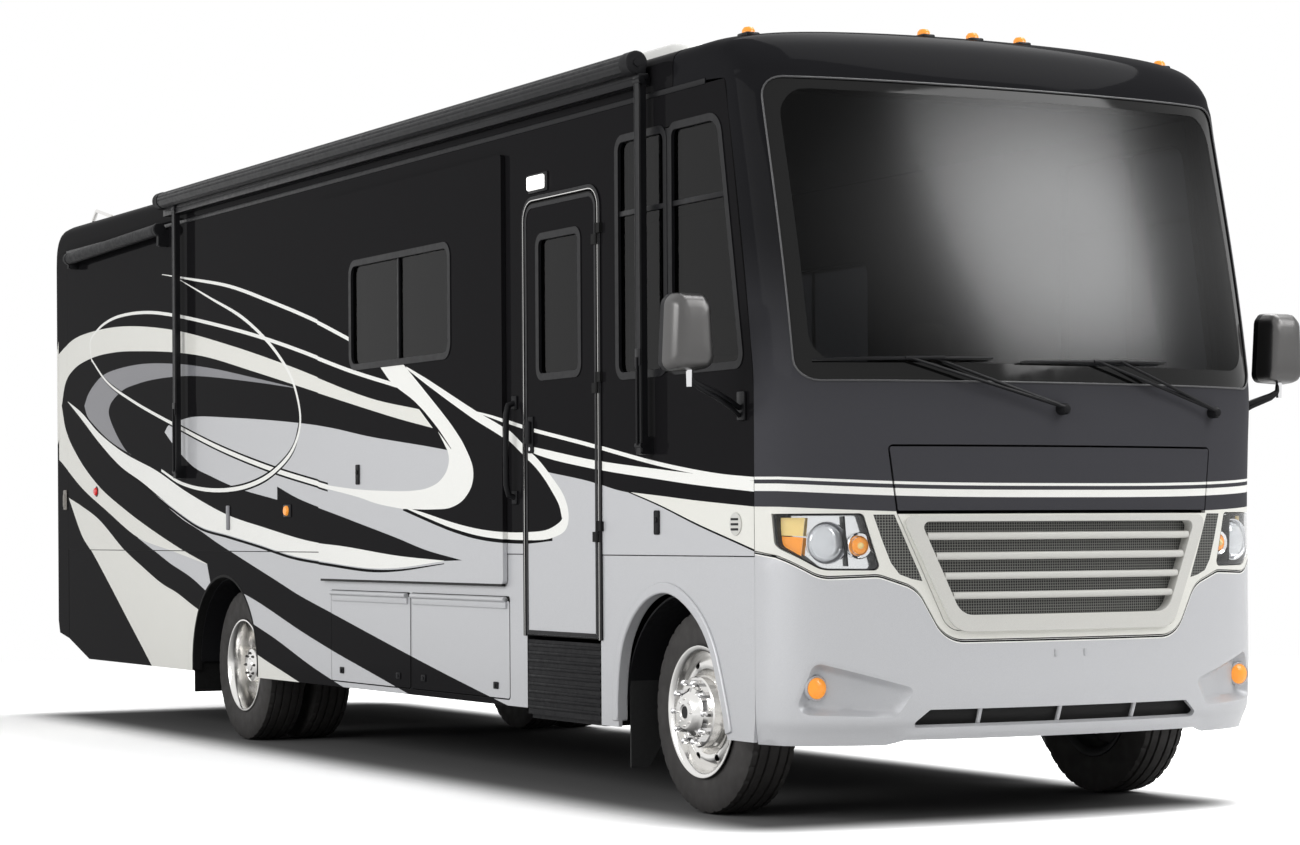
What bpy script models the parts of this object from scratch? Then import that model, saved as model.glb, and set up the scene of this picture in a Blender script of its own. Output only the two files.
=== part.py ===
# Class A motorhome, in metres: +X forward, +Y to its left, +Z up, ground at z 0.
# Shapes are written from the front axle (x 0 there) and shifted so that the box is centred.
import bmesh
import bpy
from math import asin, atan2, cos, pi, sin, sqrt, tan, radians
from mathutils import Matrix, Vector
from mathutils.geometry import delaunay_2d_cdt

# Driving dimensions
WHEELBASE = 5.79
NOSE_X = 1.1615
REAR_X = -9.27
LADDER_X = -9.38
HALF_W = 1.289
WALL_T = 0.060
WALL_BOTTOM = 1.160
WALL_TOP = 3.240
SKIRT_BOTTOM = 0.405
ROOF_CROWN = 3.495
FLOOR_LOW = 0.990
FLOOR_HIGH = 1.035
CAP_REAR_X = -0.050
REAR_SEAM_X = -8.980
SEAM_X = 0.655
SHELL_T = 0.030
TYRE_R = 0.460
TYRE_W = 0.245
AXLE_Z = 0.460
RIM_R = TYRE_R * 0.286 / 0.460
FRONT_WHEEL_Y = HALF_W - 0.224
REAR_OUTER_Y = HALF_W - 0.219
REAR_INNER_Y = REAR_OUTER_Y - 0.300
KINGPIN_Y = FRONT_WHEEL_Y - 0.165
ARCH_TOP = 1.000
FRONT_ARCH_HALF = SEAM_X - 0.040
REAR_ARCH_HALF = FRONT_ARCH_HALF - 0.055
GAP = 0.0004
RUN = 0.006
FRONT_AXLE_X = -(NOSE_X + LADDER_X) / 2
# The nose's widths below were measured on a body 2.578 wide, and follow the real one
WIDE = HALF_W / (2.578 / 2)

# Nose surface: x_side z_side half_w x_mid z_mid power, by row parameter t
NOSE_ROWS = (
    (0.40, 0.640, 0.400, 1.275, 1.100, 0.400, 2.5),
    (0.46, 0.652, 0.460, 1.286, 1.138, 0.460, 2.5),
    (0.60, 0.655, 0.600, 1.289, 1.150, 0.600, 2.5),
    (1.35, 0.655, 1.350, 1.289, 1.140, 1.350, 2.5),
    (1.65, 0.655, 1.650, 1.289, 1.128, 1.650, 2.7),
    (1.90, 0.655, 1.900, 1.289, 1.105, 1.900, 3.0),
    (2.10, 0.630, 2.100, 1.289, 1.072, 2.100, 3.0),
    (3.10, 0.450, 3.100, 1.289, 0.805, 3.100, 3.0),
    (3.24, 0.420, 3.240, 1.289, 0.760, 3.240, 3.0),
    (3.34, 0.370, 3.247, 1.289, 0.690, 3.345, 4.0),
    (3.44, 0.300, 3.252, 1.289, 0.590, 3.440, 5.0),
    (3.54, 0.220, 3.256, 1.289, 0.455, 3.490, 6.5),
    (3.70, 0.100, 3.260, 1.289, 0.250, 3.495, 8.0),
    (3.90, -0.050, 3.260, 1.289, -0.050, 3.495, 8.0),
)

MATERIALS = {
    "paint_dark": ((0.035, 0.035, 0.040), 0.3, 0.25),
    "paint_silver": ((0.50, 0.51, 0.54), 0.4, 0.3),
    "paint_cream": ((0.78, 0.76, 0.72), 0.0, 0.3),
    "glass_dark": ((0.02, 0.02, 0.025), 0.0, 0.05),
    "lamp_clear": ((0.85, 0.87, 0.88), 0.0, 0.08),
    "chrome": ((0.85, 0.85, 0.86), 1.0, 0.08),
    "tyre": ((0.025, 0.025, 0.025), 0.0, 0.85),
    "steel_black": ((0.03, 0.03, 0.03), 0.4, 0.5),
    "cast": ((0.16, 0.16, 0.16), 0.6, 0.6),
    "plastic_black": ((0.03, 0.03, 0.032), 0.0, 0.5),
    "roof_white": ((0.85, 0.85, 0.84), 0.0, 0.4),
    "trim_grey": ((0.42, 0.40, 0.37), 0.0, 0.6),
    "leather_tan": ((0.52, 0.43, 0.33), 0.0, 0.55),
    "aluminium": ((0.70, 0.70, 0.71), 1.0, 0.3),
}

for old in list(bpy.data.objects):
    bpy.data.objects.remove(old)

scene = bpy.context.scene
made = {}


def material(name):
    found = bpy.data.materials.get(name)
    if found:
        return found
    colour, metallic, roughness = MATERIALS[name]
    found = bpy.data.materials.new(name)
    found.use_nodes = True
    shader = found.node_tree.nodes["Principled BSDF"]
    shader.inputs["Base Color"].default_value = (*colour, 1.0)
    shader.inputs["Metallic"].default_value = metallic
    shader.inputs["Roughness"].default_value = roughness
    return found


def solid(name, points, faces, slot, origin=(0, 0, 0)):
    """One mesh object from points written from the front axle, with its origin at a chosen point."""
    base = Vector(origin)
    mesh = bpy.data.meshes.new(name)
    mesh.from_pydata([Vector(p) - base for p in points], [], faces)
    bm = bmesh.new()
    bm.from_mesh(mesh)
    bmesh.ops.remove_doubles(bm, verts=bm.verts, dist=2e-5)
    bmesh.ops.dissolve_degenerate(bm, edges=bm.edges, dist=2e-6)
    bmesh.ops.recalc_face_normals(bm, faces=bm.faces)
    if bm.calc_volume(signed=True) < 0:
        bmesh.ops.reverse_faces(bm, faces=bm.faces)
    bm.to_mesh(mesh)
    bm.free()
    obj = bpy.data.objects.new(name, mesh)
    scene.collection.objects.link(obj)
    obj.location = base + Vector((FRONT_AXLE_X, 0, 0))
    mesh.materials.append(material(slot))
    made[name] = obj
    return obj


def combine(name, first, others, operation="UNION", origin=(0, 0, 0)):
    """The first object joined with, or cut by, the others, as one plain mesh."""
    slot = first.data.materials[0]
    for i, other in enumerate(others):
        modifier = first.modifiers.new(f"b{i}", "BOOLEAN")
        modifier.operation = operation
        modifier.solver = "EXACT"
        modifier.object = other
    bpy.context.view_layer.update()
    graph = bpy.context.evaluated_depsgraph_get()
    mesh = bpy.data.meshes.new_from_object(first.evaluated_get(graph))
    old_base = first.location.copy()
    for other in others:
        made.pop(other.name, None)
        bpy.data.objects.remove(other)
    made.pop(first.name, None)
    bpy.data.objects.remove(first)
    obj = bpy.data.objects.new(name, mesh)
    scene.collection.objects.link(obj)
    base = Vector(origin) + Vector((FRONT_AXLE_X, 0, 0))
    mesh.transform(Matrix.Translation(old_base - base))
    obj.location = base
    mesh.materials.clear()
    mesh.materials.append(slot)
    for polygon in mesh.polygons:
        polygon.material_index = 0
    made[name] = obj
    return obj


def mesh_2d(outline, holes=(), inner=()):
    """Triangles over a flat outline with holes, using the inner points too."""
    points = []
    loops = []
    for loop in (outline, *holes):
        start = len(points)
        points.extend(loop)
        loops.append(list(range(start, len(points))))
    points.extend(inner)
    out = delaunay_2d_cdt([Vector(p) for p in points], [], loops, 2, 1e-7)
    return [tuple(v) for v in out[0]], [tuple(f) for f in out[2]]


def layered(name, flat, low, high, slot, origin=(0, 0, 0)):
    """A closed plate: the flat mesh placed twice, by low and high, with walls round its edges."""
    points, faces = flat
    count = len(points)
    placed = [low(*p) for p in points] + [high(*p) for p in points]
    directed = set()
    for face in faces:
        for i, a in enumerate(face):
            directed.add((a, face[(i + 1) % len(face)]))
    body = [tuple(reversed(face)) for face in faces]
    body += [tuple(i + count for i in face) for face in faces]
    for a, b in directed:
        if (b, a) in directed:
            continue
        # The same diagonal on both sides of a seam keeps two curved neighbours apart.
        if (round(points[a][0], 3), points[a][1]) < (round(points[b][0], 3), points[b][1]):
            body += [(a, b, b + count), (a, b + count, a + count)]
        else:
            body += [(a, b, a + count), (b, b + count, a + count)]
    return solid(name, placed, body, slot, origin)


def rounded(corners, radius, steps=4):
    """A closed outline with each corner rounded; radius is one number or one per corner."""
    out = []
    count = len(corners)
    for i, corner in enumerate(corners):
        r = radius[i] if isinstance(radius, (list, tuple)) else radius
        p = Vector(corner)
        if r <= 0:
            out.append(tuple(p))
            continue
        a = (Vector(corners[i - 1]) - p).normalized()
        b = (Vector(corners[(i + 1) % count]) - p).normalized()
        half = a.angle(b) / 2
        reach = r / tan(half)
        centre = p + (a + b).normalized() * (r / sin(half))
        start = (p + a * reach) - centre
        end = (p + b * reach) - centre
        turn = atan2(start.x * end.y - start.y * end.x, start.dot(end))
        for k in range(steps + 1):
            angle = turn * k / steps
            out.append((
                centre.x + start.x * cos(angle) - start.y * sin(angle),
                centre.y + start.x * sin(angle) + start.y * cos(angle),
            ))
    return out


def rectangle(x0, z0, x1, z1, radius=0.0, steps=4):
    return rounded([(x0, z0), (x1, z0), (x1, z1), (x0, z1)], radius, steps)


def shrink(outline, distance):
    """The outline moved inwards by a distance (outwards if negative)."""
    count = len(outline)
    area = sum(
        outline[i - 1][0] * outline[i][1] - outline[i][0] * outline[i - 1][1]
        for i in range(count)
    )
    side = 1 if area > 0 else -1
    out = []
    for i, point in enumerate(outline):
        p = Vector(point)
        a = (p - Vector(outline[i - 1])).normalized()
        b = (Vector(outline[(i + 1) % count]) - p).normalized()
        na = Vector((-a.y, a.x)) * side
        nb = Vector((-b.y, b.x)) * side
        n = na + nb
        n = n / max(n.length_squared / 2, 0.2)
        out.append(tuple(p + n * distance))
    return out


def along_y(name, outline, y0, y1, slot, holes=(), origin=(0, 0, 0)):
    """A plate whose outline is in x and z."""
    flat = mesh_2d(outline, holes)
    return layered(
        name, flat, lambda x, z: (x, y0, z), lambda x, z: (x, y1, z), slot, origin
    )


def along_x(name, outline, x0, x1, slot, holes=(), origin=(0, 0, 0)):
    """A plate whose outline is in y and z."""
    flat = mesh_2d(outline, holes)
    return layered(
        name, flat, lambda y, z: (x0, y, z), lambda y, z: (x1, y, z), slot, origin
    )


def along_z(name, outline, z0, z1, slot, holes=(), origin=(0, 0, 0)):
    """A plate whose outline is in x and y."""
    flat = mesh_2d(outline, holes)
    return layered(
        name, flat, lambda x, y: (x, y, z0), lambda x, y: (x, y, z1), slot, origin
    )


def box(name, low, high, slot, origin=(0, 0, 0)):
    outline = rectangle(low[0], low[2], high[0], high[2])
    return along_y(name, outline, low[1], high[1], slot, (), origin)


def turned(name, profile, centre, slot, segments, origin=None):
    """A body turned about an axis along Y: profile gives (y from the centre, radius)."""
    cx, cy, cz = centre
    points = []
    rings = []
    for y, r in profile:
        if r < 1e-6:
            rings.append([len(points)])
            points.append((cx, cy + y, cz))
            continue
        rings.append(list(range(len(points), len(points) + segments)))
        for k in range(segments):
            angle = 2 * pi * k / segments
            points.append((cx + r * cos(angle), cy + y, cz + r * sin(angle)))
    faces = []
    total = len(rings)
    for i in range(total):
        a, b = rings[i], rings[(i + 1) % total]
        if len(a) == 1 and len(b) == 1:
            continue
        for k in range(segments):
            n = (k + 1) % segments
            if len(a) == 1:
                faces.append((a[0], b[k], b[n]))
            elif len(b) == 1:
                faces.append((a[k], b[0], a[n]))
            else:
                faces.append((a[k], b[k], b[n], a[n]))
    return solid(name, points, faces, slot, centre if origin is None else origin)


def rod(name, start, end, radius, slot, segments=10):
    """A round bar between two points."""
    a, b = Vector(start), Vector(end)
    along = (b - a).normalized()
    side = along.orthogonal().normalized()
    up = along.cross(side)
    points = []
    for end_point in (a, b):
        for k in range(segments):
            angle = 2 * pi * k / segments
            points.append(end_point + (side * cos(angle) + up * sin(angle)) * radius)
    faces = [tuple(range(segments)), tuple(range(segments, 2 * segments))]
    for k in range(segments):
        n = (k + 1) % segments
        faces.append((k, n, n + segments, k + segments))
    return solid(name, points, faces, slot)


def swept(name, path, radius, slot, segments=8):
    """A round bar bent along a path."""
    points = []
    count = len(path)
    rings = []
    for i in range(count):
        p = Vector(path[i])
        if i == 0:
            along = Vector(path[1]) - p
        elif i == count - 1:
            along = p - Vector(path[i - 1])
        else:
            along = (Vector(path[i + 1]) - p).normalized() + (p - Vector(path[i - 1])).normalized()
        along.normalize()
        if i == 0:
            side = along.orthogonal().normalized()
        else:
            side = (side - along * side.dot(along)).normalized()
        up = along.cross(side)
        rings.append(len(points))
        for k in range(segments):
            angle = 2 * pi * k / segments
            points.append(p + (side * cos(angle) + up * sin(angle)) * radius)
    faces = [tuple(range(segments)), tuple(range(rings[-1], rings[-1] + segments))]
    for i in range(count - 1):
        for k in range(segments):
            n = (k + 1) % segments
            a, b = rings[i], rings[i + 1]
            faces.append((a + k, a + n, b + n, b + k))
    return solid(name, points, faces, slot)


def nose(s, t, inset=0.0):
    """A point of the nose surface: s is -1 at the right side and 1 at the left."""
    rows = NOSE_ROWS
    i = 0
    while i < len(rows) - 2 and t > rows[i + 1][0]:
        i += 1
    a, b = rows[i], rows[i + 1]
    k = (t - a[0]) / (b[0] - a[0])
    xs, zs, w, xm, zm, q = (a[j] + (b[j] - a[j]) * k for j in range(1, 7))
    f = max(cos(s * pi / 2), 0.0) ** (2 / q)
    p = Vector((xs + (xm - xs) * f, w * WIDE * sin(s * pi / 2), zs + (zm - zs) * f))
    if inset == 0:
        return p
    return p + nose_inward(s, t) * inset


def nose_inward(s, t):
    """The unit vector into the body at a point of the nose surface."""
    if abs(s) > 0.97:
        side = Vector((0, -1 if s > 0 else 1, 0))
        return side
    e = 0.012
    t0 = max(t - e, 0.40)
    t1 = min(t + e, 3.90)
    across = nose(s + e, t) - nose(s - e, t)
    up = nose(s, t1) - nose(s, t0)
    n = across.cross(up).normalized()
    towards = Vector((-0.6, 0, 2.0)) - nose(s, t)
    return n if n.dot(towards) > 0 else -n


def nose_s(y):
    return asin(max(-1.0, min(1.0, y / HALF_W))) * 2 / pi


def front_patch(name, outline, holes, inner, inset0, inset1, slot, origin=(0, 0, 0)):
    """A plate that follows the nose: the outline is in y and t."""
    def to_s(loop):
        return [(nose_s(y), t) for y, t in loop]
    flat = mesh_2d(to_s(outline), [to_s(h) for h in holes], to_s(inner))
    return layered(
        name,
        flat,
        lambda s, t: nose(s, t, inset0),
        lambda s, t: nose(s, t, inset1),
        slot,
        origin,
    )


def inside(outline, point, margin=0.0):
    """True if the point is in the outline and at least a margin from its edge."""
    x, y = point
    hit = False
    count = len(outline)
    for i in range(count):
        x0, y0 = outline[i - 1]
        x1, y1 = outline[i]
        if (y0 > y) != (y1 > y) and x < (x1 - x0) * (y - y0) / (y1 - y0) + x0:
            hit = not hit
        dx, dy = x1 - x0, y1 - y0
        k = max(0.0, min(1.0, ((x - x0) * dx + (y - y0) * dy) / (dx * dx + dy * dy + 1e-12)))
        if sqrt((x - x0 - k * dx) ** 2 + (y - y0 - k * dy) ** 2) < margin:
            return margin < 0
    return hit


def grid(outline, holes, ys, ts, margin=0.03):
    """Inner points at these y and t that lie in the outline and away from every edge."""
    out = []
    for y in ys:
        for t in ts:
            if not inside(outline, (y, t), margin):
                continue
            if any(inside(h, (y, t), 0.0) for h in holes):
                continue
            if any(not clear(h, (y, t), margin) for h in holes):
                continue
            out.append((y, t))
    return out


def clear(outline, point, margin):
    x, y = point
    for i in range(len(outline)):
        x0, y0 = outline[i - 1]
        x1, y1 = outline[i]
        dx, dy = x1 - x0, y1 - y0
        k = max(0.0, min(1.0, ((x - x0) * dx + (y - y0) * dy) / (dx * dx + dy * dy + 1e-12)))
        if sqrt((x - x0 - k * dx) ** 2 + (y - y0 - k * dy) ** 2) < margin:
            return False
    return True


def split_long(outline, step):
    """The outline with long edges cut into shorter ones, so that it can follow a curve."""
    out = []
    for i, end in enumerate(outline):
        start = outline[i - 1]
        length = sqrt((end[0] - start[0]) ** 2 + (end[1] - start[1]) ** 2)
        parts = max(1, round(length / step))
        for k in range(1, parts + 1):
            f = k / parts
            out.append((start[0] + (end[0] - start[0]) * f, start[1] + (end[1] - start[1]) * f))
    return out


def split_open(line, step):
    """The same for an open line, which keeps both of its ends."""
    out = [line[0]]
    for start, end in zip(line, line[1:]):
        length = sqrt((end[0] - start[0]) ** 2 + (end[1] - start[1]) ** 2)
        parts = max(1, round(length / step))
        for k in range(1, parts + 1):
            f = k / parts
            out.append((start[0] + (end[0] - start[0]) * f, start[1] + (end[1] - start[1]) * f))
    return out


def wide(corners, radius, steps):
    """A rounded outline of the nose, its y stretched with the body's width."""
    return [(y * WIDE, t) for y, t in rounded(corners, radius, steps)]


def mirrored(outline):
    return [(-y, z) for y, z in reversed(outline)]


def arch(centre_x, half, top, low, steps=12):
    """Points of a wheel arch from its rear foot to its front foot, above a height."""
    height = top - AXLE_Z
    out = []
    if low < AXLE_Z:
        out.append((centre_x - half, low))
        start = 0.0
    else:
        start = asin((low - AXLE_Z) / height)
    for k in range(steps + 1):
        angle = pi - start - (pi - 2 * start) * k / steps
        out.append((centre_x + half * cos(angle), AXLE_Z + height * sin(angle)))
    if low < AXLE_Z:
        out.append((centre_x + half, low))
    return out


FRONT_ARCH = (-0.015, FRONT_ARCH_HALF, ARCH_TOP)
REAR_ARCH = (-WHEELBASE - 0.065, REAR_ARCH_HALF, ARCH_TOP)

# Openings in the sides, in x and z
DOOR_HOLE = rounded([(-1.58, 0.757), (-0.79, 0.757), (-0.79, 2.885), (-1.58, 2.885)], [0, 0, 0.09, 0.09], 4)
DOOR_HINGE_X = -0.795
SLIDE_X0, SLIDE_X1 = -4.200, -1.850
SLIDE_Z0, SLIDE_Z1 = 1.030, 3.110
SLIDE_TRAVEL = 0.55
CAB_GLASS = rounded([(-0.60, 1.985), (0.567, 1.985), (0.37, 3.09), (-0.60, 3.09)], [0.06, 0.06, 0.10, 0.06], 4)
LIVING_GLASS = rectangle(-3.75, 2.18, -2.42, 2.76, 0.07, 4)
LEFT_GLASS = rectangle(-3.75, 2.00, -2.42, 2.76, 0.07, 4)
BAY_Z0, BAY_Z1 = 0.415, 0.915
BAY_X = ((-4.12, -3.008), (-2.996, -1.78))


def wall_outline(rear, door):
    """The side wall in x and z; on the door side the doorway and slide-out opening run out of its foot."""
    out = [(rear, WALL_BOTTOM)]
    if door:
        out += [(SLIDE_X0, WALL_BOTTOM), (SLIDE_X0, SLIDE_Z1), (SLIDE_X1, SLIDE_Z1), (SLIDE_X1, WALL_BOTTOM)]
        out += [(-1.58, WALL_BOTTOM)]
        out += [(x, z) for x, z in reversed(DOOR_HOLE[2:])]
        out += [(-0.79, WALL_BOTTOM)]
    seam = [(SEAM_X, WALL_BOTTOM), (SEAM_X, 1.90), (0.630, 2.10), (0.450, 3.10), (0.420, WALL_TOP)]
    out += [(x - GAP * 2, z) for x, z in seam]
    out += [(rear, WALL_TOP)]
    return out


def skirt_outline(front, rear, arch_at, slant=False, slide=False):
    """A lower side panel in x and z, with its arches cut from its foot."""
    top = WALL_BOTTOM - GAP
    out = [(rear, top)]
    if slant:
        out += [(rear, 0.535), (-8.53, SKIRT_BOTTOM)]
    else:
        out += [(rear, SKIRT_BOTTOM)]
    for one in arch_at:
        out += arch(*one, SKIRT_BOTTOM, 14)
    if front > 0:
        out += [(front - 0.015, SKIRT_BOTTOM), (front - 0.003, 0.46), (front, 0.60), (front, top)]
    else:
        out += [(front, SKIRT_BOTTOM), (front, top)]
    if slide:
        out += [(SLIDE_X1, top), (SLIDE_X1, SLIDE_Z0), (SLIDE_X0, SLIDE_Z0), (SLIDE_X0, top)]
    return out


def wall(side):
    """One side wall, its outer face on the vehicle's flank."""
    right = side < 0
    holes = [CAB_GLASS] if right else [CAB_GLASS, LEFT_GLASS]
    name = "side_wall_right" if right else "side_wall_left"
    return along_y(
        name,
        wall_outline(REAR_SEAM_X, right),
        side * (HALF_W - WALL_T),
        side * HALF_W,
        "paint_dark",
        holes,
    )


wall(-1)
wall(1)


def pane(name, outline, side, slot="glass_dark", y=HALF_W, origin=(0, 0, 0)):
    return along_y(name, shrink(outline, GAP), side * (y - 0.030), side * (y - 0.002), slot, (), origin)


pane("cab_window_right", CAB_GLASS, -1)
pane("cab_window_left", CAB_GLASS, 1)
pane("living_window_left", LEFT_GLASS, 1)


# Skirts below the walls
def skirt(name, outline, side, flap_x, holes=()):
    """A lower side panel with a mud flap fixed behind the wheel."""
    inner = side * (HALF_W - WALL_T)
    plate = along_y(name + "_a", outline, inner, side * (HALF_W - 0.002), "paint_silver", holes)
    flap = box(
        name + "_b",
        (flap_x - 0.008, min(side * (HALF_W - 0.389), side * (HALF_W - 0.02)), 0.27),
        (flap_x + 0.008, max(side * (HALF_W - 0.389), side * (HALF_W - 0.02)), 0.62),
        "paint_silver",
    )
    return combine(name, plate, [flap])


BAY_HOLES = [rectangle(x0, BAY_Z0 + 0.02, x1, BAY_Z1 + 0.015, 0.02, 2) for x0, x1 in BAY_X]
skirt("skirt_right_front", skirt_outline(SEAM_X - GAP * 2, -0.79 + GAP, [FRONT_ARCH]), -1, -0.655)
skirt(
    "skirt_right_rear",
    skirt_outline(-1.58 - GAP, REAR_SEAM_X, [REAR_ARCH], True, True),
    -1,
    -6.440,
    BAY_HOLES,
)
left = skirt_outline(SEAM_X - GAP * 2, REAR_SEAM_X, [REAR_ARCH, FRONT_ARCH], True)
left_plate = along_y("left_a", left, HALF_W - WALL_T, HALF_W - 0.002, "paint_silver", BAY_HOLES)
left_flaps = [
    box(f"left_f{i}", (x - 0.008, HALF_W - 0.389, 0.27), (x + 0.008, HALF_W - 0.02, 0.62), "paint_silver")
    for i, x in enumerate((-0.655, -6.440))
]
combine("skirt_left", left_plate, left_flaps)

# Baggage doors, hung from their top edges
for side, tag in ((-1, "right"), (1, "left")):
    for (x0, x1), place in zip(BAY_X, ("rear", "front")):
        outline = shrink(rectangle(x0, BAY_Z0 + 0.02, x1, BAY_Z1 + 0.015, 0.02, 2), RUN)
        hinge = ((x0 + x1) / 2, side * (HALF_W + 0.012), BAY_Z1 + 0.018)
        panel = along_y(
            f"bd_{tag}{place}", outline, side * (HALF_W - 0.030), side * (HALF_W - 0.001), "paint_silver", (), hinge
        )
        barrel = rod(
            f"bb_{tag}{place}", (x0 + 0.05, hinge[1], hinge[2]), (x1 - 0.05, hinge[1], hinge[2]), 0.0138, "paint_silver", 12
        )
        ys = sorted((side * (HALF_W - 0.010), side * (HALF_W + 0.010)))
        leaf = box(f"bl_{tag}{place}", (x0 + 0.06, ys[0], BAY_Z1 - 0.025), (x1 - 0.06, ys[1], BAY_Z1 + 0.006), "paint_silver")
        combine(f"baggage_door_{tag}_{place}", panel, [barrel, leaf], "UNION", hinge)

# Floor with the firewall, and the doorway's step cut out
FLOOR_Y = HALF_W - WALL_T - GAP
floor_outline = [
    (-9.20, -FLOOR_Y), (-1.585, -FLOOR_Y), (-1.585, -0.52), (-0.785, -0.52),
    (-0.785, -FLOOR_Y), (0.45, -FLOOR_Y), (0.62, 0.13 - FLOOR_Y), (0.62, FLOOR_Y - 0.13), (0.45, FLOOR_Y),
    (-9.20, FLOOR_Y),
]
floor_plate = along_z("floor_a", floor_outline, FLOOR_LOW, FLOOR_HIGH, "trim_grey")
firewall = box("floor_b", (0.56, 0.14 - FLOOR_Y, FLOOR_LOW + 0.01), (0.60, FLOOR_Y - 0.14, 1.56), "trim_grey")
combine("floor", floor_plate, [firewall])

# Stepwell behind the entry door
step_outline = [
    (-1.262, 0.380), (-0.880, 0.380), (-0.880, 0.600), (-0.530, 0.600), (-0.530, 0.980),
    (-0.505, 0.980), (-0.505, 0.575), (-0.855, 0.575), (-0.855, 0.355), (-1.262, 0.355),
]
step_flat = mesh_2d(step_outline)
treads = layered(
    "step_a", step_flat, lambda y, z: (-1.5795, y, z), lambda y, z: (-0.7905, y, z), "plastic_black"
)
step_side = [(-1.262, 0.355), (-0.505, 0.575), (-0.505, 0.980), (-1.20, 0.980), (-1.20, 0.745), (-1.262, 0.745)]
cheeks = [
    along_x(f"step_c{i}", step_side, x0, x1, "plastic_black")
    for i, (x0, x1) in enumerate(((-1.580, -1.554), (-0.816, -0.790)))
]
kick = box("step_k", (-1.579, -1.285, 0.377), (-0.791, -1.255, 0.742), "plastic_black")
combine("stepwell", treads, [*cheeks, kick])

# Roof
ROOF_POWER = 8.0


def roof_section(low, half, drop=0.0, steps=22):
    """The rounded roof line in y and z, from the left foot over to the right foot."""
    out = [(half, low)]
    for k in range(steps + 1):
        angle = pi * k / steps
        y = half * cos(angle)
        u = min(abs(cos(angle)), 1.0)
        out.append((y, 3.260 - drop * 0.3 + (ROOF_CROWN - drop - 3.260 + drop * 0.3) * (1 - u * u) ** (1 / ROOF_POWER)))
    out.append((-half, low))
    return out


roof_outer = roof_section(WALL_TOP + GAP, HALF_W)
roof_inner = list(reversed(roof_section(WALL_TOP + GAP, HALF_W - WALL_T, 0.060)))
along_x("roof", roof_outer + roof_inner, REAR_SEAM_X, CAP_REAR_X - GAP, "roof_white")

# Rear cap: a shallow shell that wraps round the corners
rear_line = roof_section(0.57, HALF_W)
rear_shell = along_x("rear_a", rear_line, REAR_X, REAR_SEAM_X - GAP, "paint_dark")
rear_void = along_x("rear_b", roof_section(0.50, HALF_W - 0.050, 0.050), REAR_X + 0.050, REAR_SEAM_X + 0.1, "paint_dark")
combine("rear_cap", rear_shell, [rear_void], "DIFFERENCE")

# Nose: cap, glass, hood, grille, headlamps and bumper
WINDSHIELD = wide([(-1.215, 1.905), (1.215, 1.905), (1.215, 3.225), (-1.215, 3.225)], 0.09, 4)
MOUTH = wide(
    [(-0.60, 0.840), (0.60, 0.840), (0.82, 1.346), (0.855, 1.632), (-0.855, 1.632), (-0.82, 1.346)],
    [0.09, 0.09, 0, 0.02, 0.02, 0], 3,
)
HOOD = wide([(-0.82, 1.346), (0.82, 1.346), (0.855, 1.632), (-0.855, 1.632)], 0.015, 2)
HEADLAMP = wide(
    [(-1.270, 1.340), (-1.262, 1.205), (-1.125, 1.103), (-0.900, 1.101), (-0.972, 1.340)],
    [0.0, 0.03, 0.05, 0.02, 0.02], 3,
)
BELT = wide([
    (-1.289, 1.180), (-1.130, 1.062), (-0.900, 1.062), (-0.745, 0.985), (-0.600, 0.798),
    (0.600, 0.798), (0.745, 0.985), (0.900, 1.062), (1.130, 1.062), (1.289, 1.180),
], 0, 0)
CAP_YS = [y * WIDE for y in (-1.27, -1.18, -1.02, -0.80, -0.50, -0.20, 0.20, 0.50, 0.80, 1.02, 1.18, 1.27)]
CAP_TS = (1.35, 1.50, 1.65, 1.78, 1.90, 2.10, 2.40, 2.75, 3.10, 3.30, 3.36, 3.44, 3.50, 3.56, 3.66, 3.78)


def nose_columns(rows, margin, outline, holes):
    return grid(outline, holes, CAP_YS, rows, margin)


mouth = split_long(MOUTH, 0.22)
windshield = split_long(WINDSHIELD, 0.22)
headlamp = split_long(HEADLAMP, 0.12)
cap_top = [(y * WIDE, 3.90) for y in (1.289, 1.278, 1.25, 1.18, 1.02, 0.80, 0.40, 0.0, -0.40, -0.80, -1.02, -1.18, -1.25, -1.278, -1.289)]
cap_side = [3.24, 3.34, 3.44, 3.54, 3.70]
cap_low = [(y, t + GAP) for y, t in split_open(BELT, 0.2)]
cap_outline = list(cap_low)
cap_outline += [(HALF_W, t) for t in (1.35, 1.65, 1.90, 2.10, 3.10, *cap_side)]
cap_outline += cap_top
cap_outline += [(-HALF_W, t) for t in (*reversed(cap_side), 3.10, 2.10, 1.90, 1.65, 1.35)]
cap_holes = [windshield, mouth, headlamp, mirrored(headlamp)]
cap_grid = nose_columns(CAP_TS, 0.025, cap_outline, cap_holes)
front_patch("front_cap", cap_outline, cap_holes, cap_grid, 0.0, SHELL_T, "paint_dark")

glass_line = shrink(windshield, GAP)
front_patch(
    "windshield", glass_line, (),
    grid(glass_line, (), CAP_YS, (2.10, 2.40, 2.75, 3.10), 0.04),
    0.002, 0.014, "glass_dark",
)

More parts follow.
